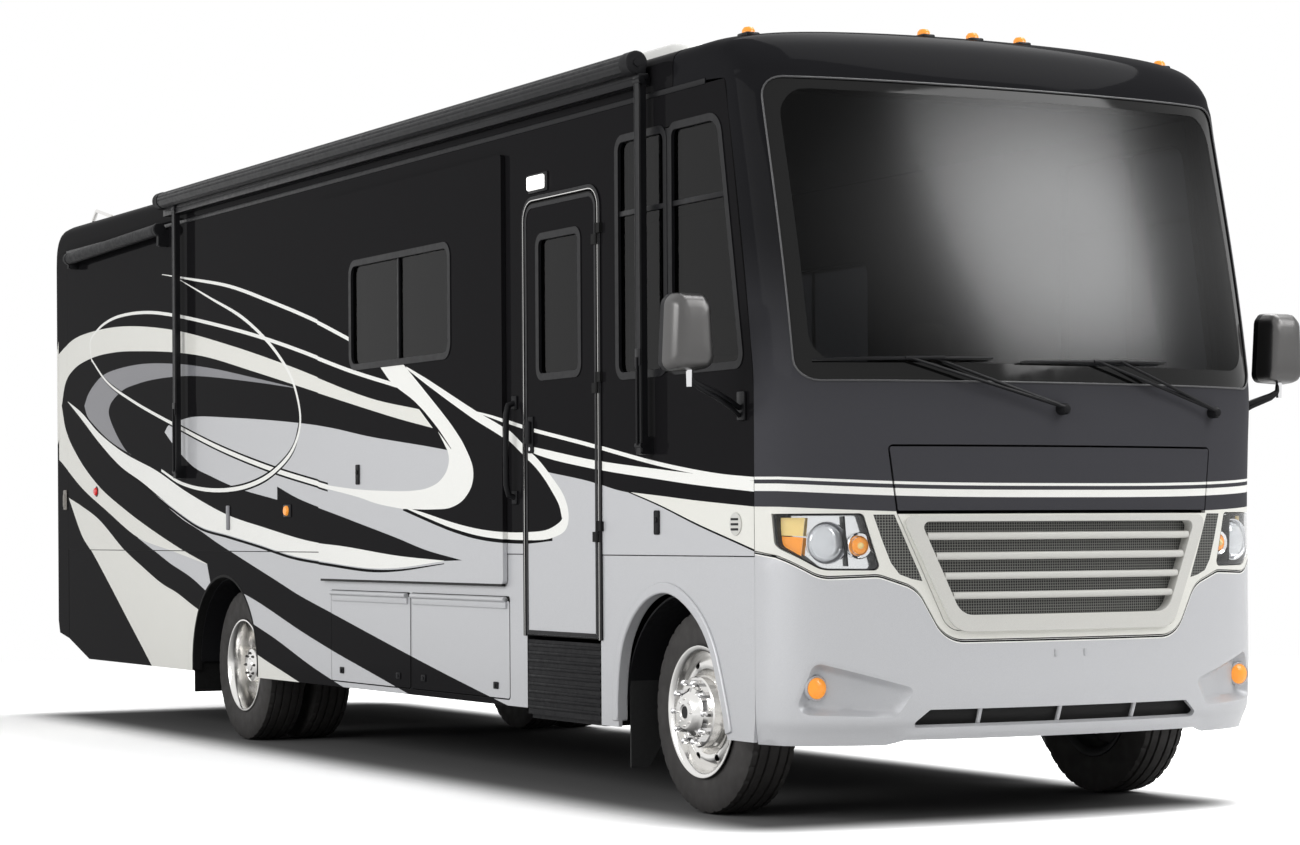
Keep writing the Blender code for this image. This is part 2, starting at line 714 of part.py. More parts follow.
HOOD_AXIS = (1.138, 0.0, 1.640)
hood_line = split_long(shrink(HOOD, RUN), 0.22)
hood = front_patch(
    "hood_a", hood_line, (), grid(hood_line, (), CAP_YS, (1.45, 1.54), 0.04),
    -0.001, 0.022, "paint_dark", HOOD_AXIS,
)
hood_hinges = []
cap_hinges = []
for y in (-0.30, 0.30):
    hx, hz = HOOD_AXIS[0], HOOD_AXIS[2]
    hood_hinges.append(rod(f"hd_b{y}", (hx, y - 0.03, hz), (hx, y, hz), 0.009, "paint_dark", 10))
    hood_hinges.append(box(f"hd_l{y}", (hx - 0.036, y - 0.029, hz - 0.045), (hx + 0.005, y - 0.001, hz - 0.015), "paint_dark"))
    hood_hinges.append(box(f"hd_m{y}", (hx - 0.012, y - 0.028, hz - 0.040), (hx + 0.004, y - 0.002, hz - 0.001), "paint_dark"))
    cap_hinges.append(rod(f"cp_b{y}", (hx, y + GAP, hz), (hx, y + 0.03, hz), 0.009, "paint_dark", 10))
    cap_hinges.append(box(f"cp_l{y}", (hx - 0.030, y + 0.001, hz + 0.002), (hx + 0.005, y + 0.029, hz + 0.030), "paint_dark"))
combine("hood_door", hood, hood_hinges, "UNION", HOOD_AXIS)
combine("front_cap", made["front_cap"], cap_hinges)

grille_line = [p for p in shrink(mouth, 0.0008) if p[1] < 1.330]
grille_line += [(y * WIDE, 1.338) for y in (0.814, 0.60, 0.40, 0.20, 0.0, -0.20, -0.40, -0.60, -0.814)]
slots = []
for z0, z1 in ((1.245, 1.300), (1.150, 1.205), (1.055, 1.110), (0.965, 1.015), (0.880, 0.925)):
    def half_at(z):
        return 0.500 + (z - 0.87) * (0.705 - 0.500) / (1.31 - 0.87)
    corners = [(-half_at(z0), z0), (half_at(z0), z0), (half_at(z1), z1), (-half_at(z1), z1)]
    slots.append(split_long(wide(corners, 0.01, 1), 0.2))
front_patch("grille", grille_line, slots, (), 0.004, SHELL_T, "paint_cream")

for side, tag in ((-1, "right"), (1, "left")):
    line = shrink(headlamp, 0.0008)
    line = line if side < 0 else mirrored(line)
    front_patch(
        f"headlight_{tag}", line, (),
        grid(line, (), (side * 1.20 * WIDE, side * 1.10 * WIDE, side * 1.00 * WIDE), (1.17, 1.26), 0.03),
        0.0, SHELL_T, "lamp_clear",
    )

INTAKE = wide([(-0.70, 0.442), (0.70, 0.442), (0.65, 0.500), (-0.65, 0.500)], 0.012, 2)
intake = split_long(INTAKE, 0.2)
bumper_low = [(y * WIDE, 0.400) for y in (-1.289, -1.25, -1.15, -1.0, -0.8, -0.5, -0.2, 0.2, 0.5, 0.8, 1.0, 1.15, 1.25, 1.289)]
bumper_top = [(y, t - GAP) for y, t in reversed(split_open(BELT, 0.2))]
bumper_outline = bumper_low + [(HALF_W, t) for t in (0.46, 0.60, 0.80, 1.0)] + bumper_top
bumper_outline += [(-HALF_W, t) for t in (1.0, 0.80, 0.60, 0.46)]
bumper_grid = grid(bumper_outline, [intake], CAP_YS, (0.60, 0.74, 0.88, 1.0), 0.03)
front_patch("front_bumper", bumper_outline, [intake], bumper_grid, 0.0, SHELL_T, "paint_silver")

# Entry door, hung at its front edge
door_line = rounded(
    [(-1.58 + RUN, 0.757 + RUN), (-0.79 - RUN, 0.757 + RUN), (-0.79 - RUN, 2.885 - RUN), (-1.58 + RUN, 2.885 - RUN)],
    [0, 0, 0.085, 0.085], 4,
)
DOOR_GLASS = rectangle(-1.43, 2.02, -0.97, 2.71, 0.05, 3)
DOOR_AXIS = (-0.790, -(HALF_W + 0.014), 1.80)
door = along_y("door_a", door_line, -(HALF_W - 0.040), -(HALF_W + 0.006), "paint_dark", [DOOR_GLASS], DOOR_AXIS)
door_hinges = []
wall_hinges = []
skirt_hinges = []
for z in (1.22, 1.92, 2.62):
    hx, hy = DOOR_AXIS[0], DOOR_AXIS[1]
    door_hinges.append(rod(f"dh_b{z}", (hx, hy, z), (hx, hy, z + 0.05), 0.009, "paint_dark", 10))
    door_hinges.append(box(f"dh_l{z}", (hx - 0.045, hy - 0.004, z + 0.001), (hx - 0.001, hy + 0.012, z + 0.049), "paint_dark"))
    wall_hinges.append(rod(f"wh_b{z}", (hx, hy, z + 0.05 + GAP), (hx, hy, z + 0.10), 0.009, "paint_dark", 10))
    wall_hinges.append(box(f"wh_l{z}", (hx + 0.004, hy - 0.004, z + 0.052), (hx + 0.040, hy + 0.030, z + 0.098), "paint_dark"))
combine("entry_door", door, door_hinges, "UNION", DOOR_AXIS)
combine("side_wall_right", made["side_wall_right"], wall_hinges)
along_y(
    "entry_door_glass", shrink(DOOR_GLASS, GAP), -(HALF_W - 0.030), -(HALF_W + 0.001), "glass_dark", (), DOOR_AXIS
)

# Slide-out room: an open-backed box behind a flat fascia
sx0, sx1 = SLIDE_X0 + 0.012, SLIDE_X1 - 0.012
sz0, sz1 = SLIDE_Z0 + 0.010, SLIDE_Z1 - 0.012
room_outer = rectangle(sx0, sz0, sx1, sz1)
room = along_y("room_a", room_outer, -(HALF_W + 0.004), -0.520, "paint_dark")
room_void = along_y("room_b", rectangle(sx0 + 0.035, sz0 + 0.035, sx1 - 0.035, sz1 - 0.035), -(HALF_W - 0.036), -0.40, "paint_dark")
window_void = along_y("room_w", LIVING_GLASS, -(HALF_W + 0.1), -(HALF_W - 0.1), "paint_dark")
room = combine("room_c", room, [room_void, window_void], "DIFFERENCE")
fascia = along_y(
    "room_f", rectangle(SLIDE_X0 - 0.035, SLIDE_Z0 - 0.018, SLIDE_X1 + 0.050, SLIDE_Z1 + 0.040, 0.02, 2),
    -(HALF_W + 0.007), -(HALF_W + 0.026), "paint_dark", [LIVING_GLASS]
)
neck = along_y("room_n", room_outer, -(HALF_W + 0.002), -(HALF_W + 0.012), "paint_dark", [LIVING_GLASS])
runners = [
    box(f"run{x}", (x - 0.05, -(HALF_W - 0.065), FLOOR_HIGH + GAP), (x + 0.05, -0.53, SLIDE_Z0 + 0.030), "paint_dark")
    for x in (SLIDE_X0 + 0.30, SLIDE_X1 - 0.30)
]
combine("slideout_room", room, [neck, fascia, *runners])
along_y(
    "slideout_glass", shrink(LIVING_GLASS, GAP), -(HALF_W - 0.010), -(HALF_W + 0.022), "glass_dark"
)

# Chassis: two rails with cross members
rails = []
for side in (-1, 1):
    rails.append(box(f"rail{side}", (-8.95, min(side * 0.43, side * 0.36), 0.66), (0.98, max(side * 0.43, side * 0.36), 0.90), "steel_black"))
crosses = [
    box(f"cross{i}", (x - 0.05, -0.38, 0.68), (x + 0.05, 0.38, 0.86), "steel_black")
    for i, x in enumerate((-8.85, -7.60, -6.55, -4.90, -3.60, -2.40, -1.00, 0.90))
]
outriggers = []
for i, x in enumerate((-8.70, -7.20, -4.60, -3.90, -2.10, -1.00)):
    outriggers.append(box(f"out_a{i}", (x - 0.03, -0.46, 0.870), (x + 0.03, 0.46, FLOOR_LOW - GAP), "steel_black"))
    if x < -1.5:
        outriggers.append(box(f"out_b{i}", (x - 0.025, 0.089 - HALF_W, 0.9454), (x + 0.025, HALF_W - 0.089, FLOOR_LOW - GAP - 0.001), "steel_black"))
for x in (-0.62, 0.62, -WHEELBASE - 0.75, -WHEELBASE + 0.75):
    for side in (-1, 1):
        ys = sorted((side * 0.40, side * 0.53))
        outriggers.append(box(f"hang{x}{side}", (x - 0.05, ys[0], 0.6554), (x + 0.05, ys[1], 0.78), "steel_black"))
hitch = [box("hitch", (-9.16, -0.30, 0.62), (-8.90, 0.30, 0.70), "steel_black")]
combine("chassis_frame", rails[0], [rails[1], *crosses, *outriggers, *hitch])

block = box("eng_a", (-0.52, -0.33, 0.56), (0.46, 0.33, 0.975), "cast")
ears = [
    box(f"eng_{x}", (x - 0.05, -(0.36 - GAP), 0.70), (x + 0.05, 0.36 - GAP, 0.80), "cast") for x in (-0.35, 0.25)
]
combine("engine", block, ears)

# Storage bays between the skirts and the rails, hung from the outriggers
for side, tag in ((-1, "right"), (1, "left")):
    bays = []
    for (x0, x1), place in zip(BAY_X, ("r", "f")):
        y0, y1 = sorted((side * 0.47, side * (HALF_W - WALL_T - GAP)))
        shell = box(f"bay_{side}{place}", (x0 - 0.012, y0, BAY_Z0 - 0.008), (x1 + 0.012, y1, 0.945), "plastic_black")
        open_y = sorted((side * 0.49, side * (HALF_W + 0.1)))
        void = box(f"bayv_{side}{place}", (x0 + 0.008, open_y[0], BAY_Z0 + 0.012), (x1 - 0.008, open_y[1], 0.925), "plastic_black")
        bays.append(combine(f"bayc_{side}{place}", shell, [void], "DIFFERENCE"))
    combine(f"storage_bays_{tag}", bays[0], bays[1:])

# Axles
beam = box("fa_a", (-0.05, 0.09 - KINGPIN_Y, 0.33), (0.05, KINGPIN_Y - 0.09, 0.42), "cast")
front_more = []
for side in (-1, 1):
    eye = sorted((side * (KINGPIN_Y - 0.14), side * (KINGPIN_Y - 0.01)))
    front_more.append(box(f"fa_e{side}", (-0.036, eye[0], 0.40), (0.036, eye[1], 0.52), "cast"))
    front_more.append(rod(f"fa_k{side}", (0, side * KINGPIN_Y, 0.38), (0, side * KINGPIN_Y, 0.54), 0.040, "cast", 14))
    spring = [(-0.62, 0.655), (-0.30, 0.50), (0.0, 0.455), (0.30, 0.50), (0.62, 0.655),
              (0.62, 0.625), (0.30, 0.47), (0.0, 0.41), (-0.30, 0.47), (-0.62, 0.625)]
    ys = sorted((side * 0.45, side * 0.53))
    front_more.append(along_y(f"fa_s{side}", spring, ys[0], ys[1], "cast"))
combine("front_axle", beam, front_more)

REAR_WHEEL_Y = (REAR_OUTER_Y + REAR_INNER_Y) / 2
tube = rod("ra_a", (-WHEELBASE, 0.13 - REAR_WHEEL_Y, AXLE_Z), (-WHEELBASE, REAR_WHEEL_Y - 0.13, AXLE_Z), 0.075, "cast", 14)
rear_more = [
    rod("ra_s", (-WHEELBASE, 0.005 - REAR_WHEEL_Y, AXLE_Z), (-WHEELBASE, REAR_WHEEL_Y - 0.005, AXLE_Z), 0.050, "cast", 14),
    turned("ra_d", [(-0.17, 0.0), (-0.17, 0.10), (-0.09, 0.19), (0.09, 0.19), (0.17, 0.10), (0.17, 0.0)],
           (-WHEELBASE, 0, AXLE_Z), "cast", 16),
    rod("ra_p", (-WHEELBASE + 0.1, 0, AXLE_Z), (-0.60, 0, 0.60), 0.045, "cast", 10),
]
for side in (-1, 1):
    spring = [(-0.75, 0.655), (-0.36, 0.56), (0.0, 0.53), (0.36, 0.56), (0.75, 0.655),
              (0.75, 0.610), (0.36, 0.50), (0.0, 0.465), (-0.36, 0.50), (-0.75, 0.610)]
    spring = [(x - WHEELBASE, z) for x, z in spring]
    ys = sorted((side * 0.45, side * 0.53))
    rear_more.append(along_y(f"ra_s{side}", spring, ys[0], ys[1], "cast"))
combine("rear_axle", tube, rear_more)

# Steering knuckles: a fork round the axle's eye, and the spindle
for side, tag in ((-1, "right"), (1, "left")):
    centre = (0, side * KINGPIN_Y, AXLE_Z)
    ys = sorted((side * (KINGPIN_Y + 0.055), side * (KINGPIN_Y + 0.085)))
    body = box(f"kn_a{side}", (-0.05, ys[0], 0.325), (0.05, ys[1], 0.595), "cast", centre)
    spindle = rod(f"kn_b{side}", (0, side * (KINGPIN_Y + 0.07), AXLE_Z), (0, side * (FRONT_WHEEL_Y - 0.003), AXLE_Z), 0.035, "cast", 14)
    ys = sorted((side * (KINGPIN_Y - 0.035), side * (KINGPIN_Y + 0.07)))
    fork_hi = box(f"kn_c{side}", (-0.042, ys[0], 0.5404), (0.042, ys[1], 0.590), "cast")
    fork_lo = box(f"kn_d{side}", (-0.042, ys[0], 0.332), (0.042, ys[1], 0.3796), "cast")
    combine(f"knuckle_{tag}", body, [spindle, fork_hi, fork_lo], "UNION", centre)

# Wheels
TYRE_SECTION = (
    (-0.482, 0.03), (-0.500, 0.43), (-0.482, 0.775), (-0.400, 0.935), (-0.163, 1.0),
    (0.163, 1.0), (0.400, 0.935), (0.482, 0.775), (0.500, 0.43), (0.482, 0.03),
    (0.429, 0.0), (-0.429, 0.0),
)
BEAD_R = RIM_R + 0.0005
TYRE_PROFILE = [(y * TYRE_W, BEAD_R + share * (TYRE_R - BEAD_R)) for y, share in TYRE_SECTION]


def flip(profile, side):
    return [(y * side, r) for y, r in profile]


rim_seat = RIM_R - 0.0008
rim_lip = RIM_R - 0.020
rim_well = RIM_R - 0.038
front_rim_profile = (
    (0.114, rim_seat), (0.114, rim_lip), (0.060, rim_well), (0.030, rim_well - 0.010), (0.050, 0.165), (0.075, 0.150),
    (0.110, 0.095), (0.125, 0.070), (0.125, 0.0), (0.000, 0.0), (0.000, 0.036), (-0.045, 0.036),
    (-0.045, 0.100), (0.018, 0.160), (0.004, rim_well - 0.010), (-0.060, rim_well), (-0.112, rim_lip), (-0.112, rim_seat),
)
for side, tag in ((-1, "right"), (1, "left")):
    centre = (0, side * FRONT_WHEEL_Y, AXLE_Z)
    turned(f"front_tyre_{tag}", flip(TYRE_PROFILE, side), centre, "tyre", 36)
    turned(f"front_rim_{tag}", flip(front_rim_profile, side), centre, "aluminium", 24)

outer_off = REAR_OUTER_Y - REAR_INNER_Y
half = outer_off / 2
rear_rim_profile = (
    (half + 0.112, rim_seat), (half + 0.112, rim_lip), (half + 0.020, rim_well), (0.045, rim_well - 0.010),
    (0.030, 0.165), (0.030, 0.112), (half + 0.090, 0.105), (half + 0.105, 0.085), (half + 0.105, 0.0),
    (0.0, 0.0), (0.0, 0.0512), (-0.100, 0.0512), (-0.100, 0.150), (-0.030, 0.200),
    (-0.045, rim_well - 0.010), (-half - 0.020, rim_well), (-half - 0.112, rim_lip),
    (-half - 0.112, rim_seat), (-half + 0.112, rim_seat), (-half + 0.112, rim_lip),
    (half - 0.112, rim_lip), (half - 0.112, rim_seat),
)
for side, tag in ((-1, "right"), (1, "left")):
    middle = (-WHEELBASE, side * REAR_WHEEL_Y, AXLE_Z)
    for y, place in ((REAR_OUTER_Y, "outer"), (REAR_INNER_Y, "inner")):
        turned(
            f"rear_tyre_{tag}_{place}", flip(TYRE_PROFILE, side), (-WHEELBASE, side * y, AXLE_Z), "tyre", 36, middle
        )
    turned(f"rear_rim_{tag}", flip(rear_rim_profile, side), middle, "aluminium", 24)

# Cab: dash with the steering wheel, and two seats
dash_outline = rounded([(0.30, 1.30), (0.5596, 1.30), (0.5596, 1.60), (0.80, 1.62), (0.80, 1.74), (0.42, 1.80), (0.28, 1.66)], 0.02, 2)
dash = along_y("dash_a", dash_outline, 0.269 - HALF_W, HALF_W - 0.269, "plastic_black")
column = rod("dash_c", (0.40, 0.55, 1.56), (0.05, 0.55, 1.72), 0.03, "plastic_black", 10)


def wheel_ring(name, centre, tilt, radius, bar, slot):
    points, faces = [], []
    major, minor = 20, 6
    for i in range(major):
        a = 2 * pi * i / major
        for j in range(minor):
            b = 2 * pi * j / minor
            r = radius + bar * cos(b)
            local = Vector((bar * sin(b), r * cos(a), r * sin(a)))
            points.append(Matrix.Rotation(tilt, 3, "Y") @ local + Vector(centre))
    for i in range(major):
        for j in range(minor):
            n, m = (i + 1) % major, (j + 1) % minor
            faces.append((i * minor + j, n * minor + j, n * minor + m, i * minor + m))
    return solid(name, points, faces, slot)


ring = wheel_ring("dash_r", (0.04, 0.55, 1.725), radians(24), 0.205, 0.014, "plastic_black")
spoke = box("dash_s", (0.02, 0.35, 1.700), (0.06, 0.75, 1.750), "plastic_black")
combine("dashboard", dash, [column, ring, spoke])

for y, tag in ((0.62, "driver_seat"), (-0.62, "passenger_seat")):
    cushion = along_y(tag + "_a", rounded([(-0.72, 1.42), (-0.17, 1.44), (-0.17, 1.56), (-0.72, 1.55)], 0.03, 2), y - 0.26, y + 0.26, "leather_tan")
    back = along_y(tag + "_b", rounded([(-0.80, 1.46), (-0.66, 1.46), (-0.82, 2.12), (-0.94, 2.10)], 0.03, 2), y - 0.25, y + 0.25, "leather_tan")
    head = along_y(tag + "_h", rounded([(-0.93, 2.07), (-0.83, 2.08), (-0.88, 2.32), (-0.98, 2.30)], 0.03, 2), y - 0.14, y + 0.14, "leather_tan")
    foot = box(tag + "_f", (-0.62, y - 0.16, FLOOR_HIGH + GAP), (-0.30, y + 0.16, 1.44), "leather_tan")
    arms = [
        box(f"{tag}_r{k}", (-0.75, y + k * 0.27 - 0.035, 1.68), (-0.38, y + k * 0.27 + 0.035, 1.73), "leather_tan")
        for k in (-1, 1)
    ]
    combine(tag, cushion, [back, head, foot, *arms])

# Mirrors on arms from the sides
for side, tag in ((-1, "right"), (1, "left")):
    s = side
    ys = sorted((s * (HALF_W + GAP), s * (HALF_W + 0.030)))
    plate = box(f"mir_p{s}", (0.53, ys[0], 1.755), (0.60, ys[1], 1.865), "chrome")
    arm = swept(
        f"mir_a{s}",
        [
            (0.565, s * (HALF_W + 0.015), 1.80), (0.60, s * (HALF_W + 0.111), 1.845), (0.63, s * (HALF_W + 0.241), 1.89),
            (0.63, s * (HALF_W + 0.296), 1.935), (0.63, s * (HALF_W + 0.301), 2.02),
        ],
        0.016, "chrome", 8,
    )
    head = rounded([
        (s * (HALF_W + out), z)
        for out, z in ((0.196, 1.955), (0.416, 1.945), (0.401, 2.25), (0.366, 2.285), (0.246, 2.285), (0.216, 2.25))
    ], 0.02, 2)
    shell = along_x(f"mir_h{s}", head, 0.56, 0.70, "chrome")
    combine(f"mirror_{tag}", plate, [arm, shell])

# Wipers
for pivot_y, tip_a, tip_b, tag in ((-0.018, -1.15, -0.36, "right"), (0.867, -0.215, 0.573, "left")):
    path = []
    for k in range(6):
        y = tip_a + (tip_b - tip_a) * k / 5
        p = nose(nose_s(y), 1.990 + 0.012 * k / 5, -0.022)
        path.append(tuple(p))
    blade = swept(f"wip_b{tag}", path, 0.009, "plastic_black", 6)
    middle = nose(nose_s((tip_a + tip_b) / 2), 1.997, -0.026)
    base = nose(nose_s(pivot_y), 1.790, 0.0)
    lift = nose(nose_s(pivot_y), 1.790, -0.045)
    foot = nose(nose_s(pivot_y), 1.790, 0.0020)
    post = swept(f"wip_p{tag}", [tuple(foot), tuple(lift)], 0.024, "plastic_black", 10)
    arm = swept(
        f"wip_a{tag}",
        [tuple(nose(nose_s(pivot_y), 1.790, -0.034)), tuple((Vector(lift) + Vector(middle)) / 2 + Vector((0.02, 0, -0.01))), tuple(middle)],
        0.010, "plastic_black", 6,
    )
    combine(f"wiper_{tag}", post, [arm, blade])

# Awnings
AWNING_Y = -(HALF_W + 0.075)
roller = rod("aw_r", (-6.78, AWNING_Y, 3.395), (-0.25, AWNING_Y, 3.395), 0.052, "paint_dark", 14)
rail = box("aw_b", (-6.76, -(HALF_W + 0.062), 3.300), (-0.27, -(HALF_W + GAP), 3.345), "paint_dark")
legs = []
for x in (-0.27, -6.55):
    legs.append(box(f"aw_l{x}", (x - 0.022, -(HALF_W + 0.070), 1.62), (x + 0.022, -(HALF_W + 0.032 if x < -1 else HALF_W + 0.032), 3.38), "paint_dark"))
    legs.append(box(f"aw_f{x}", (x - 0.020, -(HALF_W + 0.050), 1.62), (x + 0.020, -(HALF_W + GAP), 1.70), "paint_dark"))
combine("patio_awning", roller, [rail, *legs])

topper_roll = rod("tp_r", (-8.76, -(HALF_W + 0.060), 3.185), (-6.83, -(HALF_W + 0.060), 3.225), 0.038, "plastic_black", 12)
topper_ends = [
    box(f"tp_e{x}", (x - 0.018, -(HALF_W + 0.070), 3.12), (x + 0.018, -(HALF_W + GAP), 3.225), "plastic_black")
    for x in (-8.74, -6.85)
]
combine("topper_awning", topper_roll, topper_ends)

# Roof units
for x, tag in ((-2.20, "front"), (-6.90, "rear")):
    lower = rectangle(x - 0.42, -0.34, x + 0.42, 0.34, 0.10, 3)
    upper = rectangle(x - 0.34, -0.27, x + 0.36, 0.27, 0.10, 3)
    points = [(px, py, ROOF_CROWN + GAP) for px, py in lower]
    points += [(px, py, ROOF_CROWN + 0.17) for px, py in lower]
    points += [(px, py, ROOF_CROWN + 0.30) for px, py in upper]
    n = len(lower)
    faces = [tuple(range(n)), tuple(range(2 * n, 3 * n))]
    for level in (0, n):
        for k in range(n):
            m = (k + 1) % n
            faces.append((level + k, level + m, level + n + m, level + n + k))
    solid(f"air_conditioner_{tag}", points, faces, "roof_white")

# Ladder on the rear wall
rails_l = []
for y in (-0.98, -0.62):
    rails_l.append(swept(
        f"lad_{y}",
        [(REAR_X + 0.35, y, ROOF_CROWN + 0.02), (REAR_X + 0.02, y, ROOF_CROWN + 0.09), (REAR_X - 0.06, y, ROOF_CROWN + 0.03),
         (LADDER_X + 0.014, y, ROOF_CROWN - 0.12), (LADDER_X + 0.014, y, 1.26), (LADDER_X + 0.030, y, 1.22), (REAR_X - GAP, y, 1.22)],
        0.014, "aluminium", 6,
    ))
rungs = [
    rod(f"rung{i}", (LADDER_X + 0.014, -0.985, 1.40 + 0.28 * i), (LADDER_X + 0.014, -0.615, 1.40 + 0.28 * i), 0.0125, "aluminium", 6)
    for i in range(7)
]
combine("ladder", rails_l[0], [rails_l[1], *rungs])
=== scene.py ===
# Motorhome dressed for its render. Metres; shapes are written from the front axle (x 0 there).
from math import asin, atan2, cos, pi, radians, sin, sqrt, tan

import bmesh
import bpy
import numpy as np
from mathutils import Matrix, Vector
from mathutils.geometry import delaunay_2d_cdt


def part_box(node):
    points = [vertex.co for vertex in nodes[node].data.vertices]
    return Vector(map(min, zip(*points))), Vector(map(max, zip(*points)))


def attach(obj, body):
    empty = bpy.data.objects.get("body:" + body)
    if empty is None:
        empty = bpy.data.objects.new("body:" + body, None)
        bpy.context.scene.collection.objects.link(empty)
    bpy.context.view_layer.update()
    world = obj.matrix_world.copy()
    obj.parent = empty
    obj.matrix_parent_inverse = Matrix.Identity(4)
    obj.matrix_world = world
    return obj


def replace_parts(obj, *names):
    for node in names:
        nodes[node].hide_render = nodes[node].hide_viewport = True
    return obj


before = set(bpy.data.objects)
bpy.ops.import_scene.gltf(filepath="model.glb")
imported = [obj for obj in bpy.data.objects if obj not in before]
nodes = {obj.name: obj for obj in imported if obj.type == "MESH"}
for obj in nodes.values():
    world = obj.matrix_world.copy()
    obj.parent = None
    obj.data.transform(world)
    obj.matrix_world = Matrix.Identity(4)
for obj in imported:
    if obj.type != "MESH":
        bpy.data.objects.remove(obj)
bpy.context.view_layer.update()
scene = bpy.context.scene

# Sizes from the frame
tyre_low, tyre_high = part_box("front_tyre_right")
rear_tyre_low, rear_tyre_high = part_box("rear_tyre_right_outer")
AXLE_X = (tyre_low.x + tyre_high.x) / 2
AXLE_Z = (tyre_low.z + tyre_high.z) / 2
TYRE_R = (tyre_high.z - tyre_low.z) / 2
TYRE_W = tyre_high.y - tyre_low.y
FRONT_WHEEL_Y = -(tyre_low.y + tyre_high.y) / 2
REAR_OUTER_Y = -(rear_tyre_low.y + rear_tyre_high.y) / 2
REAR_INNER_Y = -sum(c.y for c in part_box("rear_tyre_right_inner")) / 2
WHEELBASE = AXLE_X - (rear_tyre_low.x + rear_tyre_high.x) / 2
HALF_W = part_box("side_wall_left")[1].y
REAR_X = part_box("rear_cap")[0].x - AXLE_X
REAR_SEAM_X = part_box("rear_cap")[1].x - AXLE_X
WALL_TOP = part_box("side_wall_left")[1].z
WALL_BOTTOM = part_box("side_wall_left")[0].z
RIM = TYRE_R * 0.286 / 0.460

# Places in metres from the front axle, and the sizes of seams and skins
SKIRT_BOTTOM = 0.405
FRONT_SKIRT_BOTTOM = 0.362
SEAM_X = 0.655
DOOR_X0, DOOR_X1, DOOR_Z0, DOOR_Z1 = -1.58, -0.79, 0.757, 2.885
SLIDE_X0, SLIDE_X1, SLIDE_Z0, SLIDE_Z1 = -4.200, -1.850, 1.030, 3.110
GROOVE = 0.0025
SKIN = 0.0012
CAP_END_X = -0.050
ARCHES = {"front": (-0.015, 0.615, 1.0), "rear": (-WHEELBASE - 0.065, 0.560, 1.0)}
BAYS = ((-4.12, -3.008), (-2.996, -1.78))
BAY_Z0, BAY_Z1 = 0.435, 0.930
SIDES = ((-1, "right"), (1, "left"))


# Materials
def new_material(name, colour, metallic=0.0, roughness=0.5, **more):
    mat = bpy.data.materials.new(name)
    mat.use_nodes = True
    shader = mat.node_tree.nodes["Principled BSDF"]
    shader.inputs["Base Color"].default_value = (*colour, 1.0)
    shader.inputs["Metallic"].default_value = metallic
    shader.inputs["Roughness"].default_value = roughness
    for key, value in more.items():
        shader.inputs[key.replace("_", " ")].default_value = value
    return mat


def coordinates(mat, scale=(1, 1, 1)):
    tree = mat.node_tree
    coords = tree.nodes.new("ShaderNodeTexCoord")
    mapping = tree.nodes.new("ShaderNodeMapping")
    mapping.inputs["Scale"].default_value = scale
    tree.links.new(coords.outputs["Object"], mapping.inputs["Vector"])
    return mapping.outputs["Vector"]


def noise(mat, scale, detail=3.0, stretch=(1, 1, 1)):
    tree = mat.node_tree
    node = tree.nodes.new("ShaderNodeTexNoise")
    node.inputs["Scale"].default_value = scale
    node.inputs["Detail"].default_value = detail
    tree.links.new(coordinates(mat, stretch), node.inputs["Vector"])
    return node.outputs["Fac"]


def vary(mat, scale, low, high, detail=3.0, stretch=(1, 1, 1)):
    """Base colour drifting between a darker and a lighter shade of itself."""
    tree = mat.node_tree
    shader = tree.nodes["Principled BSDF"]
    colour = shader.inputs["Base Color"].default_value[:3]
    ramp = tree.nodes.new("ShaderNodeValToRGB")
    ramp.color_ramp.elements[0].position = 0.3
    ramp.color_ramp.elements[1].position = 0.7
    ramp.color_ramp.elements[0].color = (*[c * low for c in colour], 1)
    ramp.color_ramp.elements[1].color = (*[min(c * high, 1) for c in colour], 1)
    tree.links.new(noise(mat, scale, detail, stretch), ramp.inputs["Fac"])
    tree.links.new(ramp.outputs["Color"], shader.inputs["Base Color"])
    return mat


def object_place(tree):
    return tree.nodes.new("ShaderNodeTexCoord").outputs["Object"]

def map_range(tree, value, source, target, smooth=False):
    """A value carried from one range to another, and kept inside it."""
    node = tree.nodes.new("ShaderNodeMapRange")
    if smooth:
        node.interpolation_type = "SMOOTHSTEP"
    for name, number in zip(("From Min", "From Max", "To Min", "To Max"), (*source, *target)):
        node.inputs[name].default_value = number
    tree.links.new(value, node.inputs["Value"])
    return node.outputs["Result"]

def maths(tree, operation, a, b=0.0):
    """The result of an operation on two sockets or numbers."""
    node = tree.nodes.new("ShaderNodeMath")
    node.operation = operation
    for socket, value in zip(node.inputs, (a, b)):
        if isinstance(value, (int, float)):
            socket.default_value = value
        else:
            tree.links.new(value, socket)
    return node.outputs[0]

def vector_maths(tree, operation, vector, by=None):
    """A vector less a fixed one or divided by it, or its length."""
    node = tree.nodes.new("ShaderNodeVectorMath")
    node.operation = operation
    tree.links.new(vector, node.inputs[0])
    if by:
        node.inputs[1].default_value = by
    return node.outputs["Value" if operation == "LENGTH" else "Vector"]

def uneven(mat, scale, low, high, detail=4.0, stretch=(1, 1, 1)):
    """Roughness between two values, as wiped or worn."""
    tree = mat.node_tree
    share = map_range(tree, noise(mat, scale, detail, stretch), (0.3, 0.7), (low, high))
    tree.links.new(share, tree.nodes["Principled BSDF"].inputs["Roughness"])
    return mat

def bump(mat, height_output, strength, distance):
    tree = mat.node_tree
    node = tree.nodes.new("ShaderNodeBump")
    node.inputs["Strength"].default_value = strength
    node.inputs["Distance"].default_value = distance
    tree.links.new(height_output, node.inputs["Height"])
    tree.links.new(node.outputs["Normal"], tree.nodes["Principled BSDF"].inputs["Normal"])
    return mat


